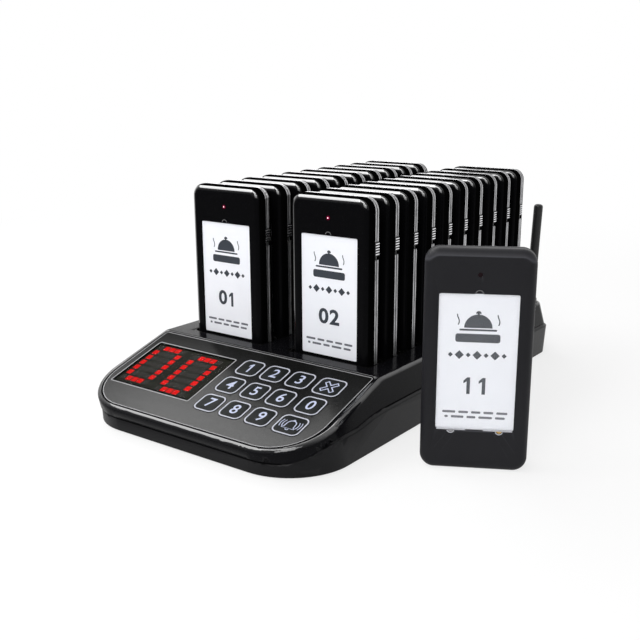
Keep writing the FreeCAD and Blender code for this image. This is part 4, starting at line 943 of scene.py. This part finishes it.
def beside_band(face, corners):
    """The flat strip next to the band, and the outer strips of the rounded front edge, where a painted dark
    line goes.
    """
    return 1.3 < face.center.y / MM < BAND[0] and abs(face.normal.y) < 0.6


# The strips beside the band and the back shell's edges get a black that reflects nothing, a painted dark
# line; the band gets a pale metal, a painted sheen.
front = front_shell()
paint(front, pager_black, pager_painted_dark, pager_painted_sheen)
paint_where(front, 1, beside_band)
paint_where(front, 2, in_band)
shade(front)
neck, back = back_shell()
paint(back, pager_painted_dark, pager_painted_sheen, pager_rear)
paint_where(back, 1, in_band)
paint_where(back, 2, lambda face, corners: face.normal.y > 0.7)
paint(neck, seam_grey)
shade(back)
slider = switch()
print("pager shells:", len(front.data.polygons), "and", len(back.data.polygons), "faces")

# %% [markdown]
# The card is bluish white stock behind the window of the front. It carries a drawing of a
# serving dome over a dark bar, a row of diamonds, the pager's number and two rows of dashes
# at the foot. A small arc over it is the thumb notch of its cover. The lamp above is a low
# dome whose middle is nearly white when lit, with a crimson rim.

# %% Card and lamp
CARD_FACE = 0.7
CARD_MARGIN = 0.45
DOME = (6.6, 16.6)
KNOB = (1.3, 9.6)
ART_BARS = (("stem", 1.0, 0.9, 9.9, 0.1), ("plate", 17.6, 0.9, 17.6, 0.4), ("dark_bar", 21.0, 4.2, 21.6, 1.0))
STEAM = (9.4, 15.2)
DIAMOND_SIZES = (3.1, 1.7)
DIAMOND_STEP = 4.2
DIAMONDS_BELOW = 30.0
NUMBER_BELOW = 45.4
DASH_ROWS = ((58.9, (6.2, 4.6, 4.4, 4.6, 5.2)), (61.4, (1.6, 6.0, 4.2, 6.4, 4.6)))
DASH_GAP = 1.5
DASH_HEIGHT = 1.15
LENS = 1.1
LENS_FLATNESS = 0.26
CORE = 0.52
ON_CARD = Matrix.Translation((0, CARD_FACE * MM, 0))
TO_CARD = Matrix.Rotation(radians(90), 4, "X")


def card_stock():
    material, shader, place = new_material("card_stock", Specular_IOR_Level=0.3)
    fibre = noise(place, 1500.0, 3.0)
    slow = noise(place, 30.0, 1.0)
    feed(shader, "Base Color", blend_colours(place, fibre * 0.5 + slow * 0.5, (0.85, 0.87, 0.93),
                                             (0.92, 0.93, 0.97)))
    feed(shader, "Roughness", fibre * 0.2 + 0.3)
    feed(shader, "Normal", bump(place, fibre, 0.00002))
    return material


card_white = card_stock()
card_ink = ink("card_ink", (0.035, 0.042, 0.055), (0.06, 0.068, 0.085))
rule_ink = ink("rule_ink", (0.13, 0.135, 0.16), (0.22, 0.225, 0.25))
lens_core = lit("lens_core", (1.0, 0.80, 0.86), (1.0, 0.62, 0.72), 1.0)
lens_rim = lit("lens_rim", (0.11, 0.0, 0.016), (0.07, 0.0, 0.01), 1.0)
notch_ink = ink("notch_ink", (0.16, 0.16, 0.165), grey(0.11))
lip_white = ink("lip_white", (0.62, 0.63, 0.68), (0.50, 0.51, 0.55))
lens_dark = lit("lens_dark", (0.016, 0.009, 0.011), (0.012, 0.007, 0.008), 0.0)


def half_disc(name, radius, height):
    """The upper half of a disc, cut along its middle."""
    pick_nothing()
    bpy.ops.mesh.primitive_circle_add(vertices=48, radius=radius * MM, fill_type="NGON",
                                      location=(0, height * MM, 0))
    piece = bpy.context.object
    piece.name = name
    settle(piece)
    bpy.ops.object.mode_set(mode="EDIT")
    bpy.ops.mesh.select_all(action="SELECT")
    bpy.ops.mesh.bisect(plane_co=(0, height * MM, 0), plane_no=(0, 1, 0), clear_inner=True, use_fill=False)
    leave()
    return piece


def bar(name, width, length, x, y, radius):
    piece = tablet(name, width, length, PRINT, radius, 2)
    piece.location = (x * MM, y * MM, 0)
    settle(piece)
    return piece


def card_art():
    """The printed drawing, measured down from the card's top edge."""
    parts = [raise_print(half_disc("dome", DOME[0], CARD_TOP - DOME[1])),
             raise_print(half_disc("knob", KNOB[0], CARD_TOP - KNOB[1]))]
    parts += [bar(name, width, height, 0, CARD_TOP - below, radius)
              for name, width, height, below, radius in ART_BARS]
    for side in (-1, 1):
        wisp = [(side * STEAM[0] + 0.5 * sin(t), CARD_TOP - STEAM[1] + t * 1.05) for t in range(6)]
        parts.append(stroke("steam", wisp, 0.55))
    for place in range(-3, 4):
        size = DIAMOND_SIZES[place % 2]
        diamond = bar("diamond", size, size, 0, 0, 0.1)
        diamond.rotation_euler = (0, 0, radians(45))
        diamond.location = (place * DIAMOND_STEP * MM, (CARD_TOP - DIAMONDS_BELOW) * MM, 0)
        settle(diamond)
        parts.append(diamond)
    piece = join("card_art", parts)
    piece.data.transform(ON_CARD @ TO_CARD)
    return paint(piece, card_ink)


def card_rules():
    """Two rows of short dashes at the card's foot."""
    parts = []
    for below, lengths in DASH_ROWS:
        start = -(sum(lengths) + DASH_GAP * (len(lengths) - 1)) / 2
        for length in lengths:
            parts.append(bar("dash", length, DASH_HEIGHT, start + length / 2, CARD_TOP - below, 0.35))
            start += length + DASH_GAP
    piece = join("card_rules", parts)
    piece.data.transform(ON_CARD @ TO_CARD)
    return paint(piece, rule_ink)


def card_number(number):
    piece = figures("number", f"{number:02d}", 8.4, 0.34, 1.14)
    piece.data.transform(Matrix.Translation((0, CARD_FACE * MM, (CARD_TOP - NUMBER_BELOW) * MM)) @ TO_CARD)
    return paint(piece, card_ink)


def notch():
    """The thumb notch over the card, a fine arc."""
    piece = stroke("notch", arc((0, CARD_TOP - 0.2), 1.9, 12, 168, 12), 0.42)
    piece.data.transform(TO_CARD)
    return paint(piece, notch_ink)


def lamp_dome(rim, core):
    """A low dome that stands just proud of the front, with a middle of its own."""
    pick_nothing()
    bpy.ops.mesh.primitive_uv_sphere_add(segments=20, ring_count=10, radius=LENS * MM)
    piece = bpy.context.object
    piece.rotation_euler = (radians(90), 0, 0)
    piece.scale = (1, 1, LENS_FLATNESS)
    settle(piece)
    paint(piece, rim, core)
    paint_where(piece, 1, lambda face, corners: max(Vector((c.x, c.z)).length for c in corners) < CORE)
    shade(piece)
    piece.data.transform(Matrix.Translation((0, 0, LAMP_HEIGHT * MM)))
    return piece


half_card = CARD[0] / 2 - CARD_MARGIN
card = rounded_block("card", (-half_card, CARD_FACE, CARD[1] + CARD_MARGIN),
                     (half_card, RECESS, CARD_TOP - CARD_MARGIN), 1, 0.8, 3)
shade(paint(card, card_white))
art = card_art()
rules = card_rules()
thumb_notch = notch()
lamp_lit = lamp_dome(lens_rim, lens_core)
lamp_dark = lamp_dome(lens_dark, lens_dark)
print("card, print and lamps")

# %% [markdown]
# The twenty docked pagers are copies of the pattern, two to a row from front to back. Odd
# numbers stand on the left. Number 11 is the one out of its slot, so the count skips it. The
# two in front have just been called, and their lamps are lit.

# %% Docked pagers
COLUMN = 37.05
FIRST_FRONT = -62.3
SLOT_PITCH = 19.7
SLOT_FLOOR = 16.8
CALLED = (1, 2)


def set_on(body, place, parts, stands_for):
    """Sets copies of patterns on a body; the ones in the last table stand for nodes."""
    for part, pattern, slot in parts:
        twin = copied(pattern, f"{body}_{part}", place)
        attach(twin, body)
        if part in stands_for:
            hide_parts(stands_for[part])


def dock(number, side, row):
    """One pager in its slot: shells, card, print, number, lamp and switch."""
    node = f"pager_{number:02d}"
    place = Matrix.Translation(Vector((side * COLUMN, FIRST_FRONT + row * SLOT_PITCH, SLOT_FLOOR)) * MM)
    own_number = card_number(number)
    parts = (("front", front, "pager_shell"), ("back", back, "pager_shell"), ("neck", neck, "pager_shell"),
             ("card", card, "card_print"), ("art", art, "card_print"), ("rules", rules, "card_print"),
             ("number", own_number, "card_print"), ("switch", slider, "soft_rubber"),
             ("notch", thumb_notch, "clear_cover"),
             ("lamp", lamp_lit if number in CALLED else lamp_dark, "red_lens"))
    set_on(node, place, parts, {"front": node})
    bpy.data.objects.remove(own_number)


number = 0
for row in range(10):
    for side in (-1, 1):
        number += 2 if number == 10 else 1
        dock(number, side, row)
print("docked", number - 1, "pagers")

# %% [markdown]
# The pager in front is the same model with a matt finish. Its shells in the frame are
# round-edged and hollow, so they are copied as they are. Two small tabs peep out at the
# card's foot, one of them gilt.

# %% Free pager
FREE_PLACE = Matrix.Translation(Vector((132.5, -73.5, 0)) * MM) @ Matrix.Rotation(radians(28), 4, "Z")


def clear_cover_film():
    """A clear window: nothing but a faint gloss over the card."""
    material, shader, place = new_material("clear_film", Specular_IOR_Level=0.5)
    haze = noise(place, 90.0, 2.0)
    feed(shader, "Base Color", blend_colours(place, haze, (0.9, 0.92, 0.95), grey(1.0)))
    feed(shader, "Roughness", haze * 0.1 + 0.08)
    feed(shader, "Alpha", haze * 0.04 + 0.05)
    return material


clear_film = clear_cover_film()
for node, name, slot, finish in (
        ("front_shell", "front", "pager_shell", matt_shell),
        ("back_shell", "back", "pager_shell", matt_shell),
        ("card", "stock", "card_print", card_white), ("card_window", "cover", "clear_cover", clear_film),
        ("switch", "slider", "soft_rubber", soft_black), ("contacts", "pads", "gilt", gilt),
        ("battery", "cell", "cell_wrap", cell_silver), ("motor", "shaker", "steel", screw_steel)):
    body = "pager_11_switch" if node == "switch" else "pager_11"
    moulding("pager_11_" + node, "pager_11_" + name, body, slot, finish)
own_number = card_number(11)
TAB_PLACES = (-11.3, 11.9)


def foot_tab(name, x, radius, material):
    """A small round tab that peeps out under the card."""
    piece = raise_print(half_disc(name, radius, 0))
    place = Matrix.Translation((x * MM, (CARD[1] + 0.1) * MM, 0)) @ Matrix.Rotation(pi, 4, "Z")
    piece.data.transform(TO_CARD @ place)
    return paint(piece, material)


def foot_lip():
    """The cover's lower lip: two pale lines with a gap in the middle, and a loop round each tab."""
    parts = [bar("lip", 14.0, 0.5, side * 11.2, CARD[1] + 0.1, 0.15) for side in (-1, 1)]
    parts += [stroke("loop", arc((x, CARD[1]), 1.75, 195, 345, 10), 0.4) for x in TAB_PLACES]
    piece = join("foot_lip", parts)
    piece.data.transform(TO_CARD)
    return paint(piece, lip_white)


left_tab = foot_tab("left_tab", TAB_PLACES[0], 1.4, edge_highlight_and_tab_grey)
right_tab = foot_tab("right_tab", TAB_PLACES[1], 1.3, gilt)
lip = foot_lip()
set_on("pager_11", FREE_PLACE,
       (("art", art, "card_print"), ("rules", rules, "card_print"), ("number", own_number, "card_print"),
        ("lamp", lamp_dark, "red_lens"), ("notch", thumb_notch, "clear_cover"),
        ("left_tab", left_tab, "clear_cover"), ("right_tab", right_tab, "gilt"), ("lip", lip, "clear_cover")),
       {"lamp": "pager_11_led"})
for pattern in (front, back, neck, card, art, rules, slider, thumb_notch, lamp_lit, lamp_dark, own_number,
                left_tab, right_tab, lip):
    bpy.data.objects.remove(pattern)
print("free pager dressed")

# %% [markdown]
# What stays hidden inside still gets its own finish, because the model can be taken apart.

# %% Inner pieces
for node, material in (("panel_board", board_green), ("charging_board", board_green),
                       ("pager_11_board", board_green), ("charging_contacts", gilt), ("key_mat", soft_black)):
    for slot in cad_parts[node].material_slots:
        slot.material = material
print("inner pieces painted")

# %% [markdown]
# The room is a white floor under a white sky, softly lit. Black gloss shows nothing but
# reflections, so where the lamps hang matters more than how strong they are. A wide soft
# lamp overhead to the left draws the bright line along every rounded top edge, a narrow one
# carries that line round the right corners, and a long low one behind shows in the flat tops.
# The front one only lights the cards. Reflections see a white room behind the base and a
# dimmer one in front, which keeps the fronts black. The floor glows far from the base and
# stays an ordinary floor close by, so it keeps the shadow.

# %% Room and lamps
FLOOR_REACH = 6.0
FRONT_DIM = 0.25
SHADOW_REACH = (0.18, 0.8)


def seen_and_mirrored(place):
    """Two masks: what the camera sees, itself or through a clear piece, and what a reflection sees."""
    path = place.tree.nodes.new("ShaderNodeLightPath")
    seen, through, mirrored = (Wire(place.tree, path.outputs[f"Is {ray} Ray"])
                               for ray in ("Camera", "Transmission", "Glossy"))
    return seen + through, mirrored


def floor_paint():
    material, shader, place = new_material("floor_white", Roughness=0.9, Specular_IOR_Level=0.0)
    tree = place.tree
    grain = noise(place, 3.0, 2.0)
    feed(shader, "Base Color", blend_colours(place, grain, grey(0.93), grey(0.90)))
    seen, mirrored = seen_and_mirrored(place)
    away = place.node("VectorMath", {"operation": "LENGTH"}, {0: place}, 1)
    fade = ranged(away, *SHADOW_REACH, 0.75, 1.0, "SMOOTHSTEP")
    depth = place.node("SeparateXYZ", None, {0: place}, 1)
    strength = seen + mirrored * ranged(depth, -0.4, 0.2, FRONT_DIM, 1.0, "SMOOTHSTEP")
    glow = place.node("Emission", None, {"Color": (*grey(1.0), 1.0), "Strength": strength})
    near = Wire(tree, shader.outputs[0])
    both = place.node("MixShader", None, {0: (seen + mirrored) * fade, 1: near, 2: glow})
    tree.links.new(both.socket, tree.nodes["Material Output"].inputs["Surface"])
    return material


def room_light(ambient):
    """Dim light on the object, and white where the camera or a reflection sees the sky."""
    world = bpy.data.worlds.new("room")
    world.use_nodes = True
    tree = world.node_tree
    direction = Wire(tree, tree.nodes.new("ShaderNodeTexCoord").outputs["Generated"])
    depth = direction.node("SeparateXYZ", None, {0: direction}, 1)
    seen, mirrored = seen_and_mirrored(direction)
    background = tree.nodes["Background"]
    background.inputs["Color"].default_value = (*grey(1.0), 1.0)
    room = ranged(depth, -0.5, 0.3, FRONT_DIM, 1.0, "SMOOTHSTEP")
    strength = seen * (1.0 - ambient) + mirrored * (room - ambient) + ambient
    tree.links.new(strength.socket, background.inputs["Strength"])
    bpy.context.scene.world = world


def lamp(name, place, target, width, height, power, turn=0.0, gloss=1.0):
    """A flat soft lamp that looks at a point, turned about its own axis."""
    bpy.ops.object.light_add(type="AREA", location=place)
    made = bpy.context.object
    made.name = name
    made.data.shape = "RECTANGLE"
    made.data.size = width
    made.data.size_y = height
    made.data.energy = power
    made.data.specular_factor = gloss
    made.visible_camera = False
    aim = (Vector(target) - Vector(place)).to_track_quat("-Z", "Y").to_matrix()
    made.rotation_euler = (aim @ Matrix.Rotation(turn, 3, "Z")).to_euler()


pick_nothing()
bpy.ops.mesh.primitive_plane_add(size=2 * FLOOR_REACH)
floor = bpy.context.object
floor.name = "floor"
paint(floor, floor_paint())
settle(floor)
room_light(0.38)
lamp("top_lamp", (-0.92, -0.08, 1.12), (-0.92, -0.08, 0.0), 0.85, 1.85, 19.5)
lamp("corner_lamp", (-0.15, -0.62, 1.10), (-0.15, -0.62, 0.0), 1.0, 0.35, 4.4, radians(-26.6))
lamp("back_lamp", (-0.95, 1.30, 0.30), (0.0, 0.0, 0.12), 1.3, 0.12, 1.4)
lamp("front_lamp", (0.5, -1.3, 0.9), (0.0, 0.0, 0.05), 0.8, 0.8, 8.3, 0.0, 0.0)
print("room and lamps ready")
